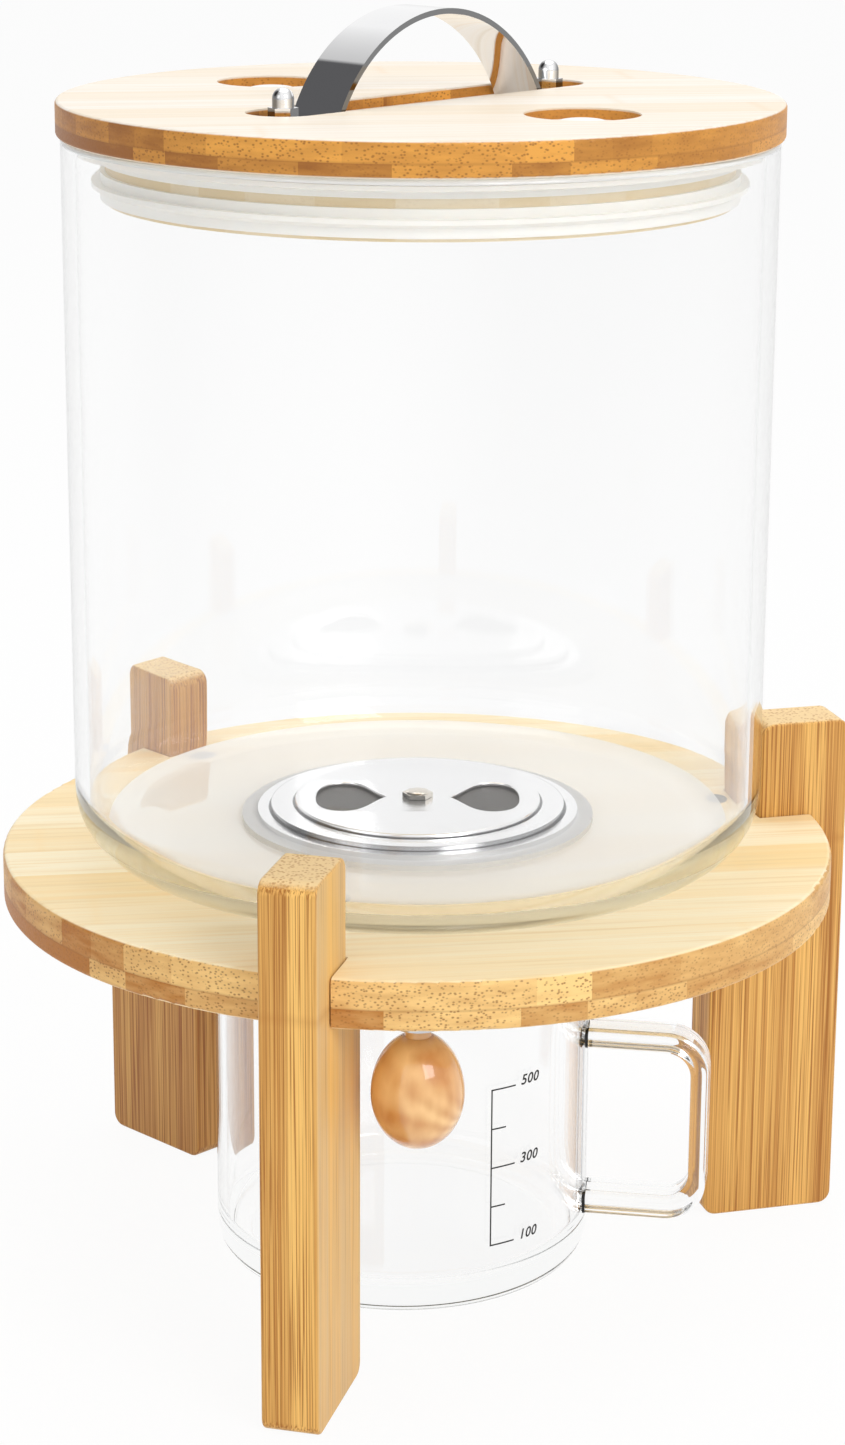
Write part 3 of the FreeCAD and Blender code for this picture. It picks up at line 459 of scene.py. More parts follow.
def board_rim(made, along, ply, middle, dots, tones, dotting):
    """Blocks of sawn strip ends with dark dots, in two plies with a seam between them, and a painted shade
    that darkens the rim towards the left and lightens it towards the right.
    """
    bamboo = looks().bamboo
    light, dark = tones
    x, y, z = made.split(along)
    turn = made.math("ARCTAN2", y, x)
    uneven = made.math("MULTIPLY", made.math("SINE", made.math("MULTIPLY", turn, 5.0)), 1.3)
    blocks = made.range(ply, 0.0, 1.0, bamboo.rim_blocks * 0.7 / math.tau, bamboo.rim_blocks / math.tau)
    around = made.math("ADD", made.math("MULTIPLY", turn, blocks), uneven)
    row = made.math("ADD", made.math("MULTIPLY", ply, PLY_ROWS), 3.0)
    block = made.chance(made.math("FLOOR", around), row)
    smear = made.streaks(made.place, RIM_SMEAR)
    lower = made.math("SUBTRACT", 1.0, ply)
    # Painted shade: the rim is darker towards the left and lighter towards the right, as if lit from the
    # right.
    painted_side_shade = made.math("COSINE", turn)
    tone = made.weigh((block, 0.55), (smear, 0.55), (lower, 0.10), (painted_side_shade, -0.16))
    rim = made.blend(made.range(tone, 0.28, 0.92), light, dark)
    amount = made.range(block, 0.15, 0.75, 0.8 * dotting, 0.4 * dotting)
    dotted = made.math("MULTIPLY", made.range(dots, 0.16, 0.40, 1.0, 0.0), amount)
    rim = made.blend(dotted, rim, bamboo.streak)
    seam = made.apart(z, middle)
    return made.blend(made.range(seam, 0.0001, 0.0005, 0.3, 0.0), rim, bamboo.streak)


def bamboo_board(name, top_tones, rim_tones, levels, ply_level, dotting):
    """Glued bamboo strips on top, and two plies of sawn ends round the rim."""
    bottom, surface = levels
    middle = bottom + (surface - bottom) * ply_level
    made = Finish(name)
    made.set(Specular_IOR_Level=WOOD_GLOSS)
    along = made.turned_place(looks().bamboo.grain_turn)
    z = made.split(along)[2]
    ply = made.math("GREATER_THAN", z, middle)
    fine = made.streaks(along, BOARD_FINE, 4.0)
    dots = made.dots(made.stretched(made.place, RIM_DOTS))
    top = board_top(made, along, ply, fine, top_tones, rim_tones[0])
    rim = board_rim(made, along, ply, middle, dots, rim_tones, dotting)
    skin = made.math("MINIMUM", made.math("SUBTRACT", surface, z), made.math("SUBTRACT", z, bottom))
    outermost = made.range(skin, 0.0003, 0.0006, 1.0, 0.0)
    level = made.range(made.steepness(), 0.96, 0.99)
    made.set(Base_Color=made.blend(made.math("MAXIMUM", outermost, level), rim, top))
    made.set(Roughness=made.range(fine, 0.3, 0.7, 0.36, 0.52))
    made.relief(made.math("ADD", fine, made.math("MULTIPLY", dots, 0.5)), strength=0.12, distance=0.0002)
    return made.material


def bamboo_leg(name, azimuth, calm, painted_shade_share):
    """Upright bamboo fibres in narrow strips with thin dark dashes, calmer on broad faces, and pale ends,
    with a share of painted shade mixed into the sides.
    """
    bamboo = looks().bamboo
    made = Finish(name)
    made.set(Specular_IOR_Level=WOOD_GLOSS)
    local = made.turned_place(math.pi / 2 - azimuth)
    x, y, z = made.split(local)
    strip = made.math("FLOOR", made.math("DIVIDE", y, bamboo.leg_strip))
    plank = made.math("FLOOR", made.math("DIVIDE", x, bamboo.leg_strip * 1.6))
    chance = made.chance(strip, plank)
    broad = made.streaks(local, LEG_BROAD)
    fine = made.streaks(local, LEG_FINE)
    dash = made.streaks(local, LEG_DASH, 1.0)
    tone = made.weigh((chance, 0.16), (broad, 0.22), (fine, 0.62))
    side = made.blend(made.range(tone, 0.38, 0.68), bamboo.leg_light, bamboo.leg_dark)
    side = made.blend(made.range(dash, 0.53, 0.66, 0.0, 0.85), side, bamboo.leg_streak)
    face = made.blend(made.range(broad, 0.3, 0.7), bamboo.leg_face, bamboo.leg_light)
    face = made.blend(made.range(dash, 0.62, 0.72, 0.0, 0.5), face, bamboo.leg_dark)
    sideways = made.math("ABSOLUTE", made.along_normal((math.cos(azimuth), math.sin(azimuth), 0)))
    side = made.blend(made.range(sideways, 0.6, 0.95, 0.0, calm), side, face)
    spans = made.math("FRACT", made.math("DIVIDE", z, bamboo.leg_joint_span))
    joint = made.apart(spans, 0.62)
    side = made.blend(made.range(joint, 0.0, 0.012, 0.22, 0.0), side, bamboo.leg_dark)
    # Painted shade: a share of a darker colour for a leg that faces away from the lamps.
    side = made.blend(painted_shade_share, side, bamboo.leg_shade)
    dots = made.dots(made.place, LEG_DOTS)
    end = made.blend(made.range(dots, 0.2, 0.45, 0.6, 0.0), bamboo.leg_end, bamboo.leg_dark)
    made.set(Base_Color=made.blend(made.range(made.steepness(), 0.55, 0.9), side, end))
    made.set(Roughness=made.range(fine, 0.3, 0.7, 0.38, 0.56))
    made.relief(made.math("ADD", fine, dash), strength=0.15, distance=0.0002)
    return made.material


def lacquered_wood(name):
    """Soft fan-shaped grain under a thick clear lacquer."""
    bamboo = looks().bamboo
    made = Finish(name, roughness=0.34)
    low, high = (Vector(corner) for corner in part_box("knob"))
    heart = (high.x + 0.004, high.y, low.z + 0.006)
    x, _, z = made.split(made.vector_math("SUBTRACT", made.place, heart)["Vector"])
    fan = made.math("ARCTAN2", z, x)
    flow = made.streaks(made.place, KNOB_FLOW, 2.0)
    rings = made.math("SINE", made.weigh((fan, 17.0), (flow, 7.0)))
    grain = made.streaks(made.place, KNOB_FINE, 4.0)
    cloud = made.streaks(made.place, KNOB_CLOUD, 2.0)
    tone = made.math("ADD", made.range(rings, -1.0, 1.0, 0.0, 0.28), made.math("MULTIPLY", grain, 0.22))
    tone = made.math("ADD", tone, made.range(cloud, 0.42, 0.66, 0.0, 0.5))
    made.set(Base_Color=made.blend(made.range(tone, 0.20, 0.82), bamboo.knob_light, bamboo.knob_dark))
    made.set(Coat_Weight=1.0, Coat_Roughness=0.04)
    made.relief(grain, strength=0.05, distance=0.0001)
    return made.material


def clear_glass(name, veil=0.0):
    """Clear glass with a faint green depth and a slight waviness, and a veil where it scatters light."""
    glass = looks().glass
    made = Finish(name, roughness=0.0)
    uneven = made.streaks(made.place, GLASS_SHADES, 1.0)
    made.set(Base_Color=made.blend(made.range(uneven, 0.42, 0.66), WHITE, glass.shade))
    made.set(Transmission_Weight=1.0 - veil, IOR=glass.bend)
    made.relief(made.streaks(made.place, GLASS_WAVES, 1.0), strength=0.02, distance=0.0008)
    depth = made.node("ShaderNodeVolumeAbsorption", Color=glass.tint, Density=glass.depth)
    made.tree.links.new(depth.outputs[0], made.output.inputs["Volume"])
    return made.material


def polished_steel(name, tint, roughness, painted_dark_side=None):
    """Polished steel with faint drawn lines and smudges, and a painted dark reflection where it faces along a
    given direction.
    """
    made = Finish(name, metallic=1.0)
    drawn = made.streaks(made.place, STEEL_LINES, 2.0)
    smudge = made.streaks(made.place, STEEL_SMUDGES)
    shade = made.blend(made.range(smudge, 0.4, 0.8, 0.0, 0.25), tint, darker(tint, 0.88))
    if painted_dark_side:
        # Painted reflection: faces along the given direction are darkened, as though they mirrored something
        # dark.
        edge = made.math("ABSOLUTE", made.along_normal(painted_dark_side))
        shade = made.blend(made.range(edge, 0.3, 0.75), shade, darker(tint, 0.25))
    made.set(Base_Color=shade)
    made.set(Roughness=made.range(smudge, 0.3, 0.75, roughness * 0.7, roughness * 1.5))
    made.relief(drawn, strength=0.03, distance=0.00005)
    return made.material


def turned_steel(name, tint, lines=()):
    """Bright steel with fine rings from the lathe, and a painted shadow line at each joint's radius."""
    made = Finish(name, metallic=1.0)
    x, y, _ = made.split(made.place)
    radius = made.vector_math("LENGTH", made.join(x, y, 0.0))["Value"]
    lathe = made.node("ShaderNodeTexNoise", {"noise_dimensions": "1D"}, W=radius, Scale=LATHE_RINGS,
                      Detail=2.0)
    rings = lathe.outputs[0]
    shade = made.blend(made.range(rings, 0.3, 0.8, 0.0, 0.2), tint, darker(tint, 0.9))
    # Painted shadow: a thin dark band at each of these radii.
    for line in lines:
        away = made.apart(radius, line)
        shade = made.blend(made.range(away, 0.0002, 0.0005, 0.85, 0.0), shade, JOINT_SHADOW_TONE)
    made.set(Base_Color=shade)
    made.set(Roughness=made.range(rings, 0.3, 0.7, 0.14, 0.26))
    made.relief(rings, strength=0.04, distance=0.00004)
    return made.material


def soft_moulding(name, tint, roughness, glow=0.0):
    """Moulded plastic or silicone with a fine matt skin and slight clouding."""
    made = Finish(name)
    cloud = made.streaks(made.place, MOULD_CLOUDS)
    skin = made.streaks(made.place, MOULD_SKIN, 2.0)
    clouded = made.range(cloud, 0.35, 0.75, 0.0, 0.35)
    made.set(Base_Color=made.blend(clouded, tint, darker(tint, 0.9)))
    made.set(Roughness=made.range(skin, 0.3, 0.7, roughness * 0.85, roughness * 1.2))
    made.set(Subsurface_Weight=glow, Subsurface_Radius=MOULD_SPREAD, IOR=MOULD_INDEX)
    made.relief(skin, strength=0.06, distance=0.00004)
    return made.material


def screen_print(name, tint):
    """Thin printed ink, a little uneven."""
    made = Finish(name)
    grain = made.streaks(made.place, INK_GRAIN, 2.0)
    made.set(Base_Color=made.blend(made.range(grain, 0.45, 0.8, 0.0, 0.5), tint, INK_TONE))
    made.set(Roughness=made.range(grain, 0.3, 0.7, 0.45, 0.65))
    return made.material


def body_of(node):
    """The CAD body that a node moves with."""
    return next(body for body, members in BODIES.items() if node in members)


def settle(piece, body, slot, *nodes):
    """Rides a finished piece on its body and hides the CAD nodes that it stands for; the slot is not used."""
    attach(piece, body)
    if nodes:
        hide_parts(*nodes)
    return piece


def linked(name, data):
    """A new object in the scene."""
    made = bpy.data.objects.new(name, data)
    bpy.context.scene.collection.objects.link(made)
    return made


def new_piece(name, mesh, material):
    """A mesh object at the origin with one material."""
    mesh.name = name
    mesh.materials.clear()
    mesh.materials.append(material)
    return linked(name, mesh)


def plain_mesh(thing):
    """The evaluated mesh of an object, which is then removed."""
    bpy.context.view_layer.update()
    evaluated = thing.evaluated_get(bpy.context.evaluated_depsgraph_get())
    mesh = bpy.data.meshes.new_from_object(evaluated)
    bpy.data.objects.remove(thing)
    return mesh


def weld(mesh, outwards=False):
    """Merges a mesh's doubles, and turns its faces outwards where that is asked for."""
    shape = bmesh.new()
    shape.from_mesh(mesh)
    bmesh.ops.remove_doubles(shape, verts=shape.verts, dist=WELD)
    if outwards:
        bmesh.ops.recalc_face_normals(shape, faces=shape.faces)
    shape.to_mesh(mesh)
    shape.free()


def smooth(mesh):
    """Shades a mesh smoothly, with crisp creases."""
    mesh.shade_smooth()
    mesh.set_sharp_from_angle(angle=CREASE)


def finished_copy(node, material, ease=0.0):
    """A welded, smoothly shaded copy of a CAD node, eased off what it stands between."""
    mesh = frame["nodes"][node].data.copy()
    weld(mesh)
    if "custom_normal" in mesh.attributes:
        mesh.attributes.remove(mesh.attributes["custom_normal"])
    smooth(mesh)
    draft = new_piece(f"{node}_draft", mesh, material)
    weighting = draft.modifiers.new("even_normals", "WEIGHTED_NORMAL")
    weighting.mode = "FACE_AREA_WITH_ANGLE"
    weighting.keep_sharp = True
    mesh = plain_mesh(draft)
    if ease:
        low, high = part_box(node)
        middle = Vector((0, 0, (low[2] + high[2]) / 2))
        shorter = Matrix.Scale(1 - 2 * ease / (high[2] - low[2]), 4, (0, 0, 1))
        mesh.transform(Matrix.Translation(middle) @ shorter @ Matrix.Translation(-middle))
    piece = new_piece(f"{node}_finished", mesh, material)
    return settle(piece, body_of(node), SLOTS[node], node)


def arc(centre_radius, centre_level, radius, start, end, steps):
    """Points of an arc in a section, with angles in degrees from outward towards up."""
    turns = [math.radians(start + (end - start) * step / steps) for step in range(steps + 1)]
    return [(centre_radius + radius * math.cos(turn), centre_level + radius * math.sin(turn))
            for turn in turns]


def supported(points):
    """The section with a point close to each end of its straight runs, which keeps their shading straight."""
    made = []
    for start, end in zip(points, points[1:] + points[:1]):
        made.append(start)
        run = Vector(end) - Vector(start)
        step = run.normalized() * SUPPORT
        if run.length > 8 * SUPPORT:
            made += [tuple(Vector(start) + step), tuple(Vector(end) - step)]
    return made


def give(modifier, **values):
    """Sets a node modifier's inputs through their sockets' identifiers."""
    for socket in modifier.node_group.interface.items_tree:
        if socket.in_out == "INPUT" and socket.name in values:
            modifier[socket.identifier] = values[socket.name]


def turning_tree():
    """A tree that turns a closed section about the vertical axis, facing outwards."""
    tree = bpy.data.node_groups.new("turned_section", "GeometryNodeTree")
    for name, kind in (("Section", "Geometry"), ("Points", "Int"), ("Segments", "Int"), ("Weld", "Float"),
                       ("Finish", "Material")):
        tree.interface.new_socket(name, in_out="INPUT", socket_type=f"NodeSocket{kind}")
    tree.interface.new_socket("Geometry", in_out="OUTPUT", socket_type="NodeSocketGeometry")
    bench = Bench(tree)
    given = bench.node("NodeGroupInput").outputs
    rows = bench.math("ADD", given["Points"], 1.0)
    columns = bench.math("ADD", given["Segments"], 1.0)
    grid = bench.node("GeometryNodeMeshGrid", Vertices_X=columns, Vertices_Y=rows)
    index = bench.node("GeometryNodeInputIndex").outputs[0]
    row = bench.math("MODULO", bench.math("MODULO", index, rows), given["Points"])
    column = bench.math("FLOOR", bench.math("DIVIDE", index, rows))
    turn = bench.math("DIVIDE", bench.math("MULTIPLY", column, math.tau), given["Segments"])
    position = bench.node("GeometryNodeInputPosition").outputs[0]
    point = bench.node("GeometryNodeSampleIndex", {"data_type": "FLOAT_VECTOR"}, Geometry=given["Section"],
                       Value=position, Index=row)
    radius, _, level = bench.split(point.outputs[0])
    around = bench.join(bench.math("MULTIPLY", radius, bench.math("COSINE", turn)),
                        bench.math("MULTIPLY", radius, bench.math("SINE", turn)), level)
    moved = bench.node("GeometryNodeSetPosition", Geometry=grid.outputs["Mesh"], Position=around)
    closed = bench.node("GeometryNodeMergeByDistance", Geometry=moved.outputs[0], Distance=given["Weld"])
    real = bench.node("GeometryNodeRealizeInstances", Geometry=closed.outputs[0])
    clad = bench.node("GeometryNodeSetMaterial", Geometry=real.outputs[0], Material=given["Finish"])
    tree.links.new(clad.outputs[0], bench.node("NodeGroupOutput").inputs[0])
    return tree


def turned(name, points, segments, material):
    """The mesh of a section of (radius, level) points turned about the vertical axis."""
    points = supported(points)
    section = bpy.data.meshes.new(f"{name}_section")
    section.from_pydata([(radius, 0, level) for radius, level in points], [], [])
    draft = linked(f"{name}_draft", section)
    modifier = draft.modifiers.new("turning", "NODES")
    modifier.node_group = turning_tree()
    give(modifier, Points=len(points), Segments=segments, Weld=WELD, Finish=material)
    mesh = plain_mesh(draft)
    smooth(mesh)
    return mesh


class AddBoards(bpy.types.Operator):
    """Adds the shelf, the lid and its plug"""
    bl_idname = "dispenser.boards"
    bl_label = "Bamboo boards"
    bl_options = {"REGISTER", "UNDO"}

    def execute(self, context):
        bamboo = looks().bamboo
        shelf_top = (bamboo.shelf_pale, bamboo.shelf_warm)
        shelf_rim = (bamboo.shelf_rim_light, bamboo.shelf_rim_dark)
        lid_top = (bamboo.lid_pale, bamboo.lid_warm)
        lid_rim = (bamboo.lid_rim_light, bamboo.lid_rim_dark)
        plug = (bamboo.plug_pale, bamboo.plug_warm)
        boards = (("shelf_board", shelf_top, shelf_rim, bamboo.shelf_ply, bamboo.rim_dotting),
                  ("lid_board", lid_top, lid_rim, bamboo.lid_ply, bamboo.rim_dotting),
                  ("lid_plug", plug, plug, 1.0, bamboo.plug_dotting))
        for node, top, rim, ply, dotting in boards:
            low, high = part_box(node)
            finished_copy(node, bamboo_board(f"{node}_bamboo", top, rim, (low[2], high[2]), ply, dotting))
        return {"FINISHED"}


class AddLegs(bpy.types.Operator):
    """Adds the three plank legs"""
    bl_idname = "dispenser.legs"
    bl_label = "Legs"
    bl_options = {"REGISTER", "UNDO"}

    def execute(self, context):
        bamboo = looks().bamboo
        # Each leg with the calm of its broad faces and its share of painted shade.
        legs = (("leg_front", bamboo.front_calm, 0.0), ("leg_right", 0.0, bamboo.right_depth),
                ("leg_left", 0.0, bamboo.left_depth))
        for node, calm, painted_shade_share in legs:
            low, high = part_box(node)
            azimuth = math.atan2(low[0] + high[0], -low[1] - high[1])
            finished_copy(node, bamboo_leg(f"{node}_bamboo", azimuth, calm, painted_shade_share))
        return {"FINISHED"}


class AddGlassware(bpy.types.Operator):
    """Adds the canister and the measuring cup"""
    bl_idname = "dispenser.glassware"
    bl_label = "Glassware"
    bl_options = {"REGISTER", "UNDO"}

    def profile(self):
        """The canister's section as (radius, level) points, from the hole round the outside to the floor."""
        jar = looks().jar
        low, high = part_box("glass_jar")
        radius = high[0]
        inner = radius - jar.wall
        bottom = low[2] - GLASS_EASE
        top = high[2] - GLASS_EASE
        floor = low[2] + jar.base
        foot, hollow, rim = jar.foot_round, jar.floor_round, jar.rim_round
        points = [(jar.hole, bottom)]
        points += arc(radius - foot, bottom + foot, foot, -90, 0, jar.foot_steps)
        points += arc(radius - rim, top - rim, rim, 0, 90, jar.rim_steps)
        points += arc(inner + rim, top - rim, rim, 90, 180, jar.rim_steps)
        points += arc(inner - hollow, floor + hollow, hollow, 0, -90, jar.foot_steps)
        return points + [(jar.hole, floor)]

    def canister(self, finish):
        """The turned canister, veiled on its level floor and on its rim."""
        jar = looks().jar
        points = self.profile()
        mesh = turned("glass_jar", points, jar.around, finish)
        piece = new_piece("glass_jar_finished", mesh, finish)
        mesh.materials.append(clear_glass("veiled_glass", looks().glass.veil))
        inside = points[-1][1] - GLASS_EASE
        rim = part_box("glass_jar")[1][2] - jar.rim_round
        for face in mesh.polygons:
            low_down = inside < face.center.z < inside + jar.floor_round
            on_floor = low_down and face.normal.z > LEVEL_FACE
            face.material_index = int(on_floor or face.center.z > rim)
        return settle(piece, body_of("glass_jar"), SLOTS["glass_jar"], "glass_jar")

    def execute(self, context):
        finish = clear_glass("clear_glass")
        for piece in (self.canister(finish), finished_copy("measuring_cup", finish, GLASS_EASE)):
            piece.visible_shadow = False
            piece.visible_diffuse = False
        return {"FINISHED"}


class AddSeals(bpy.types.Operator):
    """Adds the lid's seals, the gaskets and the rotor's soft face"""
    bl_idname = "dispenser.seals"
    bl_label = "Seals"
    bl_options = {"REGISTER", "UNDO"}

    def execute(self, context):
        fittings = looks().fittings
        clear = soft_moulding("clear_silicone", fittings.seal, roughness=0.34, glow=0.35)
        grey = soft_moulding("grey_silicone", fittings.gasket, roughness=0.45, glow=0.1)
        shutter = soft_moulding("shutter_silicone", fittings.shutter, roughness=0.4)
        for node, finish in (("seal_upper", clear), ("seal_lower", clear), ("jar_gasket", grey),
                             ("shelf_gasket", grey), ("rotor_seal", shutter)):
            finished_copy(node, finish)
        return {"FINISHED"}


class AddValve(bpy.types.Operator):
    """Adds the valve's body, its pressed plate, the rotor, the clamp nut and the lid's caps"""
    bl_idname = "dispenser.valve"
    bl_label = "Valve"
    bl_options = {"REGISTER", "UNDO"}

    def closed_spline(self, outline, points, steps):
        """A closed curve with a number of points, still to be placed."""
        spline = outline.splines.new("BEZIER")
        spline.bezier_points.add(points - 1)
        spline.use_cyclic_u = True
        spline.resolution_u = steps
        return spline.bezier_points

    def port(self, outline, sign):
        """One teardrop opening in the plate's outline, its point towards the centre."""
        sizes = looks().plate
        corners = ((sizes.apex, 0), (sizes.shoulder, sizes.half_width), (sizes.tip, 0),
                   (sizes.shoulder, -sizes.half_width))
        points = self.closed_spline(outline, len(corners), sizes.port_steps)
        for point, (x, y) in zip(points, corners):
            point.co = (sign * x, sign * y, 0)
            kind = "VECTOR" if x == sizes.apex else "AUTO"
            point.handle_left_type = kind
            point.handle_right_type = kind

    def ring(self, outline, radius):
        """A round outline about the centre, from four quarters."""
        handle = radius * 4 / 3 * math.tan(math.pi / 8)
        points = self.closed_spline(outline, 4, looks().plate.ring_steps)
        for quarter, point in enumerate(points):
            turn = Matrix.Rotation(quarter * math.pi / 2, 3, "Z")
            point.co = turn @ Vector((radius, 0, 0))
            point.handle_left = turn @ Vector((radius, -handle, 0))
            point.handle_right = turn @ Vector((radius, handle, 0))

    def pressed_plate(self, finish):
        """The plate, pressed from its outline with rounded edges."""
        sizes = looks().plate
        low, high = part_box("valve_plate")
        outline = bpy.data.curves.new("valve_plate_outline", "CURVE")
        outline.dimensions = "2D"
        outline.fill_mode = "BOTH"
        self.ring(outline, high[0])
        self.ring(outline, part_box("centre_screw")[1][0] * sizes.hole_share)
        for sign in (1, -1):
            self.port(outline, sign)
        outline.extrude = (high[2] - low[2]) / 2 - sizes.edge
        outline.bevel_depth = sizes.edge
        outline.bevel_resolution = sizes.edge_steps
        outline.offset = -sizes.edge
        mesh = plain_mesh(linked("valve_plate_draft", outline))
        mesh.transform(Matrix.Translation((0, 0, (low[2] + high[2]) / 2)))
        weld(mesh, outwards=True)
        smooth(mesh)
        piece = new_piece("valve_plate_pressed", mesh, finish)
        return settle(piece, body_of("valve_plate"), SLOTS["valve_plate"], "valve_plate")

    def execute(self, context):
        fittings = looks().fittings
        sizes = looks().plate
        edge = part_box("valve_plate")[1][0]
        bright = turned_steel("valve_steel", fittings.plate)
        # Painted shadow lines just outside the plate and at the next step of the valve body.
        lines = (edge + sizes.inner_line, edge + sizes.outer_line)
        shadow_lined = turned_steel("valve_body_steel", fittings.plate, lines)
        plastic = soft_moulding("white_plastic", fittings.plastic, roughness=0.4, glow=0.1)
        self.pressed_plate(bright)
        finished_copy("valve_body", shadow_lined)
        for node in ("rotor_disc", "clamp_nut", "lid_buttons"):
            finished_copy(node, plastic)
        return {"FINISHED"}


class AddFittings(bpy.types.Operator):
    """Adds the strap handle, nuts, screws, spindle and lever"""
    bl_idname = "dispenser.fittings"
    bl_label = "Steel fittings"
    bl_options = {"REGISTER", "UNDO"}

    def execute(self, context):
        fittings = looks().fittings
        # Painted reflection: the strap's faces across its direction, and set sides of the screw and the nuts,
        # are painted darker.
        across = (-math.sin(fittings.strap_turn), math.cos(fittings.strap_turn), 0)
        satin = polished_steel("satin_steel", fittings.steel, roughness=0.24)
        strap = polished_steel("strap_steel", fittings.plate, roughness=0.04, painted_dark_side=across)
        screw = polished_steel("screw_steel", fittings.screw, roughness=0.08, painted_dark_side=SCREW_PAINTED_DARK_SIDE)
        nut = polished_steel("nut_steel", fittings.plate, roughness=0.05, painted_dark_side=NUT_PAINTED_DARK_SIDE)
        dull = polished_steel("dull_steel", fittings.dull, roughness=0.4)
        for node, finish in (("handle_strap", strap), ("centre_screw", screw), ("handle_nuts", nut),
                             ("leg_screws", dull)):
            finished_copy(node, finish)
        for node in ("spindle", "lever_arm", "lever_nut", "knob_screw", "plug_screws", "handle_screws"):
            finished_copy(node, satin)
        return {"FINISHED"}


class AddKnob(bpy.types.Operator):
    """Adds the lacquered knob"""
    bl_idname = "dispenser.knob"
    bl_label = "Knob"
    bl_options = {"REGISTER", "UNDO"}

    def execute(self, context):
        finished_copy("knob", lacquered_wood("knob_lacquer"))
        return {"FINISHED"}


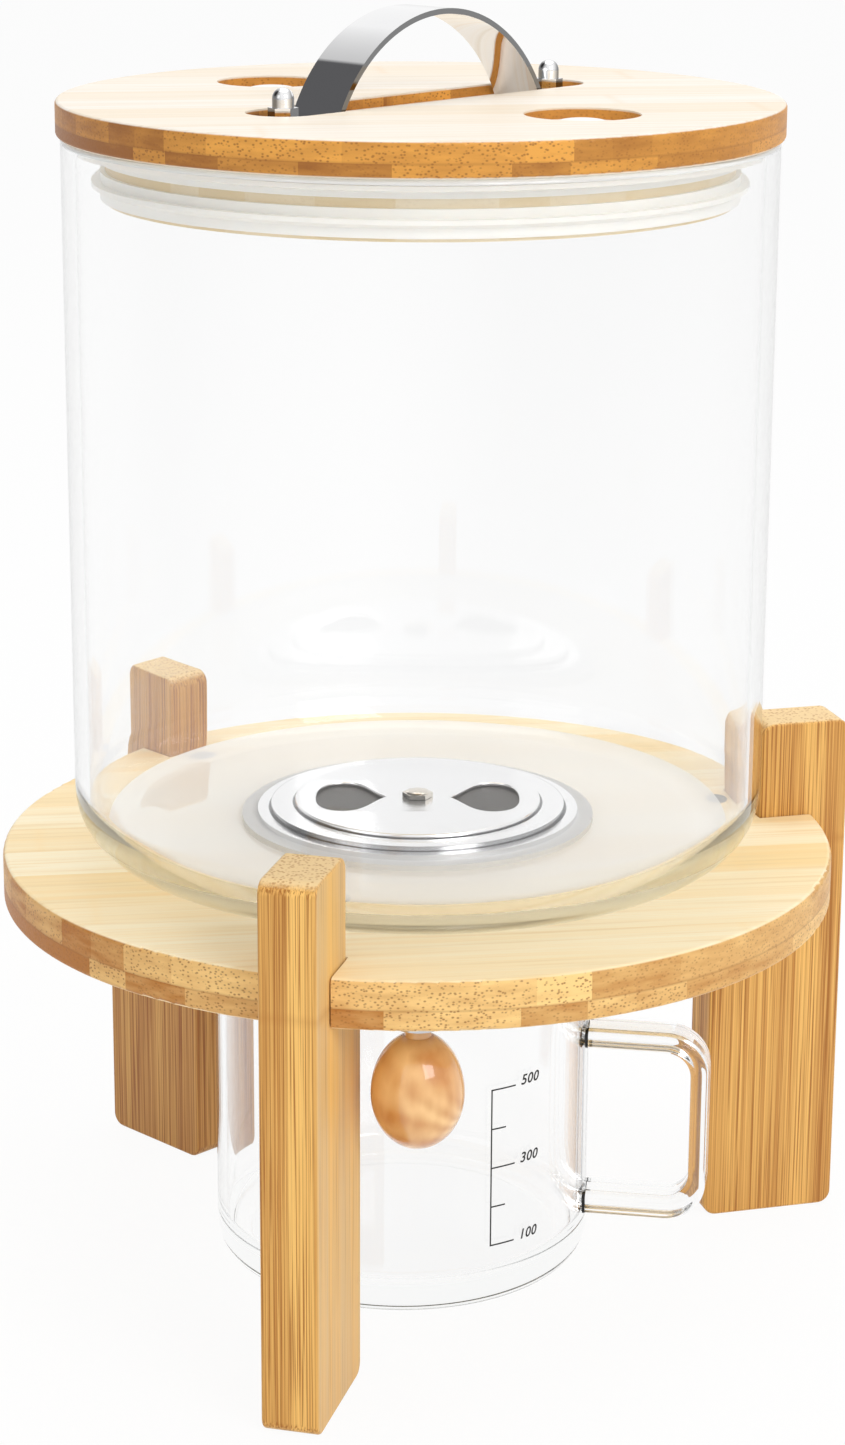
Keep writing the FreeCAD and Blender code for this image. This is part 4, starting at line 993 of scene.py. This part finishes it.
class AddScale(bpy.types.Operator):
    """Adds the printed scale on the measuring cup"""
    bl_idname = "dispenser.scale"
    bl_label = "Printed scale"
    bl_options = {"REGISTER", "UNDO"}

    def cup(self):
        """Radius and centre of the cup's wall."""
        low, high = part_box("measuring_cup")
        centre = (low[1] + high[1]) / 2
        radius = (high[1] - low[1]) / 2
        return radius, low[0] + radius, centre

    def inputs(self):
        """What the marks are made from, by the name of the tree's input."""
        sizes = looks().scale
        radius, centre_x, centre_y = self.cup()
        return {"Count": sizes.marks, "Step": sizes.step, "First level": sizes.first_level,
                "Long mark": sizes.long_mark, "Short mark": sizes.short_mark, "Stroke": sizes.stroke,
                "Ink depth": sizes.ink_depth, "Wall radius": radius, "Azimuth": sizes.azimuth,
                "Centre X": centre_x, "Centre Y": centre_y}

    def mark_tree(self, material):
        """Long and short marks in turn along an upright line, wrapped round the cup."""
        tree = bpy.data.node_groups.new("scale_marks", "GeometryNodeTree")
        for name, value in self.inputs().items():
            kind = "NodeSocketInt" if name == "Count" else "NodeSocketFloat"
            tree.interface.new_socket(name, in_out="INPUT", socket_type=kind).default_value = value
        tree.interface.new_socket("Geometry", in_out="OUTPUT", socket_type="NodeSocketGeometry")
        bench = Bench(tree)
        given = bench.node("NodeGroupInput").outputs
        points = bench.node("GeometryNodeMeshLine", Count=given["Count"],
                            Start_Location=bench.join(0.0, 0.0, given["First level"]),
                            Offset=bench.join(0.0, 0.0, given["Step"]))
        parity = bench.math("MODULO", bench.node("GeometryNodeInputIndex").outputs[0], 2.0)
        reach = bench.range(parity, 0.0, 1.0, given["Long mark"], given["Short mark"])
        unit = bench.node("GeometryNodeMeshCube", Vertices_X=looks().scale.mark_steps,
                          Size=bench.join(1.0, given["Ink depth"], given["Stroke"]))
        start = bench.node("GeometryNodeTransform", Geometry=unit.outputs["Mesh"], Translation=(0.5, 0, 0))
        marks = bench.node("GeometryNodeInstanceOnPoints", Points=points.outputs[0],
                           Instance=start.outputs[0], Scale=bench.join(reach, 1.0, 1.0))
        span = bench.math("MULTIPLY", given["Step"], bench.math("SUBTRACT", given["Count"], 1.0))
        height = bench.math("ADD", span, given["Stroke"])
        line = bench.node("GeometryNodeMeshCube",
                          Size=bench.join(given["Stroke"], given["Ink depth"], height))
        rise = bench.math("ADD", given["First level"], bench.math("MULTIPLY", span, 0.5))
        upright = bench.node("GeometryNodeTransform", Geometry=line.outputs["Mesh"],
                             Translation=bench.join(0.0, 0.0, rise))
        both = bench.node("GeometryNodeJoinGeometry")
        tree.links.new(marks.outputs[0], both.inputs[0])
        tree.links.new(upright.outputs[0], both.inputs[0])
        real = bench.node("GeometryNodeRealizeInstances", Geometry=both.outputs[0])
        x, y, z = bench.split(bench.node("GeometryNodeInputPosition").outputs[0])
        turn = bench.math("ADD", given["Azimuth"], bench.math("DIVIDE", x, given["Wall radius"]))
        away = bench.math("SUBTRACT", given["Wall radius"], y)
        aside = bench.math("MULTIPLY", away, bench.math("SINE", turn))
        forward = bench.math("MULTIPLY", away, bench.math("COSINE", turn))
        wrapped = bench.join(bench.math("ADD", aside, given["Centre X"]),
                             bench.math("SUBTRACT", given["Centre Y"], forward), z)
        bent = bench.node("GeometryNodeSetPosition", Geometry=real.outputs[0], Position=wrapped)
        inked = bench.node("GeometryNodeSetMaterial", Geometry=bent.outputs[0], Material=material)
        tree.links.new(inked.outputs[0], bench.node("NodeGroupOutput").inputs[0])
        return tree

    def marks(self, material):
        """The scale's upright line and marks."""
        draft = linked("scale_marks_draft", bpy.data.meshes.new("scale_marks_draft"))
        modifier = draft.modifiers.new("marks", "NODES")
        modifier.node_group = self.mark_tree(material)
        give(modifier, **self.inputs())
        piece = new_piece("cup_scale_marks", plain_mesh(draft), material)
        return settle(piece, "cup", SLOTS["measuring_cup"])

    def numeral(self, text, level, material):
        """A slanted numeral beside its mark, bent round the cup."""
        sizes = looks().scale
        radius, centre_x, centre_y = self.cup()
        words = bpy.data.curves.new(f"numeral_{text}", "FONT")
        words.body = text
        words.size = sizes.numeral
        words.shear = sizes.slant
        words.space_character = sizes.spacing
        words.extrude = sizes.ink_depth / 2
        words.offset = sizes.stroke / 6
        mesh = plain_mesh(linked(f"numeral_{text}_draft", words))
        start = sizes.long_mark + sizes.numeral_gap
        for vertex in mesh.vertices:
            across, up, depth = vertex.co
            turn = sizes.azimuth + (start + across) / radius
            away = radius + depth
            vertex.co = (centre_x + away * math.sin(turn), centre_y - away * math.cos(turn),
                         level - sizes.stroke + up)
        piece = new_piece(f"cup_numeral_{text}", mesh, material)
        return settle(piece, "cup", SLOTS["measuring_cup"])

    def execute(self, context):
        sizes = looks().scale
        ink = screen_print("scale_ink", looks().fittings.ink)
        self.marks(ink)
        for mark in range(0, sizes.marks, 2):
            volume = sizes.mark_volume * (mark + 1)
            self.numeral(str(volume), sizes.first_level + mark * sizes.step, ink)
        return {"FINISHED"}


class AddStage(bpy.types.Operator):
    """Adds the floor, the lamps, the white surroundings and the camera"""
    bl_idname = "dispenser.stage"
    bl_label = "Stage"
    bl_options = {"REGISTER", "UNDO"}

    def seen(self, bench):
        """1 for what the camera, a mirror or a glass shows, 0 for light on the object."""
        path = bench.node("ShaderNodeLightPath").outputs
        shown = bench.math("MAXIMUM", path["Is Camera Ray"], path["Is Glossy Ray"])
        return bench.math("MAXIMUM", shown, path["Is Transmission Ray"])

    def mixed(self, bench, share, first, second):
        """A mix of two shaders, by the second one's share."""
        mix = bench.node("ShaderNodeMixShader", Fac=share)
        bench.tree.links.new(first.outputs[0], mix.inputs[1])
        bench.tree.links.new(second.outputs[0], mix.inputs[2])
        return mix.outputs[0]

    def surroundings(self):
        """Even white light, with a dark card and a duller horizon that only mirrors show."""
        world = bpy.data.worlds.new("studio")
        world.use_nodes = True
        bench = Bench(world.node_tree)
        bench.tree.nodes.clear()
        mirrored = bench.node("ShaderNodeLightPath").outputs["Is Glossy Ray"]
        way = bench.node("ShaderNodeTexCoord").outputs["Generated"]
        towards_card = bench.vector_math("DOT_PRODUCT", way, Vector(CARD_WAY).normalized())["Value"]
        card = bench.range(towards_card, 0.925, 0.945, 0.0, 0.92)
        halo = bench.range(towards_card, 0.70, 0.93, 0.0, 0.38)
        horizon = bench.range(bench.split(way)[2], -0.05, 0.2, 0.16, 0.0)
        dark = bench.math("MAXIMUM", bench.math("MAXIMUM", card, halo), horizon)
        view = bench.blend(bench.math("MULTIPLY", dark, mirrored), WHITE, CARD_TONE)
        shown = bench.node("ShaderNodeBackground", Color=view, Strength=1.0)
        light = bench.node("ShaderNodeBackground", Color=WHITE, Strength=looks().stage.sky)
        surface = bench.node("ShaderNodeOutputWorld").inputs["Surface"]
        bench.tree.links.new(self.mixed(bench, self.seen(bench), light, shown), surface)
        bpy.context.scene.world = world

    def floor(self):
        """A wide pale floor that looks almost white and keeps its shadows."""
        stage = looks().stage
        made = Finish("pale_floor", roughness=0.7)
        made.set(Base_Color=stage.floor)
        glow = made.node("ShaderNodeEmission", Color=WHITE, Strength=1.0)
        share = made.math("MULTIPLY", self.seen(made), stage.floor_glow)
        made.tree.links.new(self.mixed(made, share, made.surface, glow), made.output.inputs["Surface"])
        mesh = bpy.data.meshes.new("floor")
        shape = bmesh.new()
        bmesh.ops.create_grid(shape, x_segments=1, y_segments=1, size=stage.floor_reach)
        bmesh.ops.translate(shape, verts=shape.verts, vec=(0, 0, FLOOR_LIFT))
        shape.to_mesh(mesh)
        shape.free()
        new_piece("floor", mesh, made.material)

    def lamp(self, name, spot, size, watts):
        """A square lamp that points at the object."""
        light = bpy.data.lights.new(name, "AREA")
        light.size = size
        light.energy = watts
        lamp = linked(name, light)
        lamp.location = spot
        aim = Vector(looks().stage.aim) - Vector(spot)
        lamp.rotation_euler = aim.to_track_quat("-Z", "Y").to_euler()

    def camera(self):
        """The camera, where the photograph was taken from."""
        stage = looks().stage
        data = bpy.data.cameras.new("camera")
        data.sensor_width = SENSOR
        data.lens = stage.focal_pixels / stage.image_height * SENSOR
        data.clip_start = NEAREST
        camera = linked("camera", data)
        turn = Matrix.Rotation(-stage.yaw, 4, "Z") @ Matrix.Rotation(math.pi / 2 - stage.pitch, 4, "X")
        turn = turn @ Matrix.Rotation(stage.roll, 4, "Z")
        camera.matrix_world = Matrix.Translation(stage.camera_place) @ turn
        bpy.context.scene.camera = camera

    def execute(self, context):
        stage = looks().stage
        self.surroundings()
        self.floor()
        self.lamp("key_lamp", stage.key_place, stage.key_size, stage.key_power)
        self.lamp("fill_lamp", stage.fill_place, stage.fill_size, stage.fill_power)
        self.lamp("top_lamp", stage.top_place, stage.top_size, stage.top_power)
        self.camera()
        context.scene.view_settings.view_transform = "Standard"
        return {"FINISHED"}


PIECES = (AddBoards, AddLegs, AddGlassware, AddSeals, AddValve, AddFittings, AddKnob, AddScale, AddStage)


class DispenserLooks(bpy.types.PropertyGroup):
    """All the settings of the dispenser's looks."""
    bamboo: PointerProperty(name="Bamboo", description="Bamboo and wood", type=BambooLooks)
    glass: PointerProperty(name="Glass", description="Looks of the glass", type=GlassLooks)
    jar: PointerProperty(name="Canister", description="Sizes of the canister", type=JarSizes)
    fittings: PointerProperty(name="Fittings", description="Metal, plastic and silicone", type=FittingLooks)
    scale: PointerProperty(name="Scale", description="Printed scale on the cup", type=ScaleSizes)
    plate: PointerProperty(name="Plate", description="Pressed plate of the valve", type=PlateSizes)
    stage: PointerProperty(name="Stage", description="Camera, lamps and floor", type=StageLooks)


class VIEW3D_PT_dispenser(bpy.types.Panel):
    """Lists the dispenser's pieces"""
    bl_label = "Dispenser"
    bl_space_type = "VIEW_3D"
    bl_region_type = "UI"
    bl_category = "Dispenser"

    def draw(self, context):
        for piece in PIECES:
            self.layout.operator(piece.bl_idname)


CLASSES = (BambooLooks, GlassLooks, JarSizes, FittingLooks, ScaleSizes, PlateSizes, StageLooks,
           DispenserLooks, *PIECES, VIEW3D_PT_dispenser)


def register():
    """Adds the classes and the scene's settings."""
    for made in CLASSES:
        bpy.utils.register_class(made)
    bpy.types.Scene.dispenser = PointerProperty(type=DispenserLooks)


def unregister():
    """Takes the settings and the classes away."""
    del bpy.types.Scene.dispenser
    for made in reversed(CLASSES):
        bpy.utils.unregister_class(made)


def main():
    """Makes every piece and the stage."""
    register()
    for piece in PIECES:
        family, name = piece.bl_idname.split(".")
        getattr(getattr(bpy.ops, family), name)()


if __name__ == "__main__":
    main()
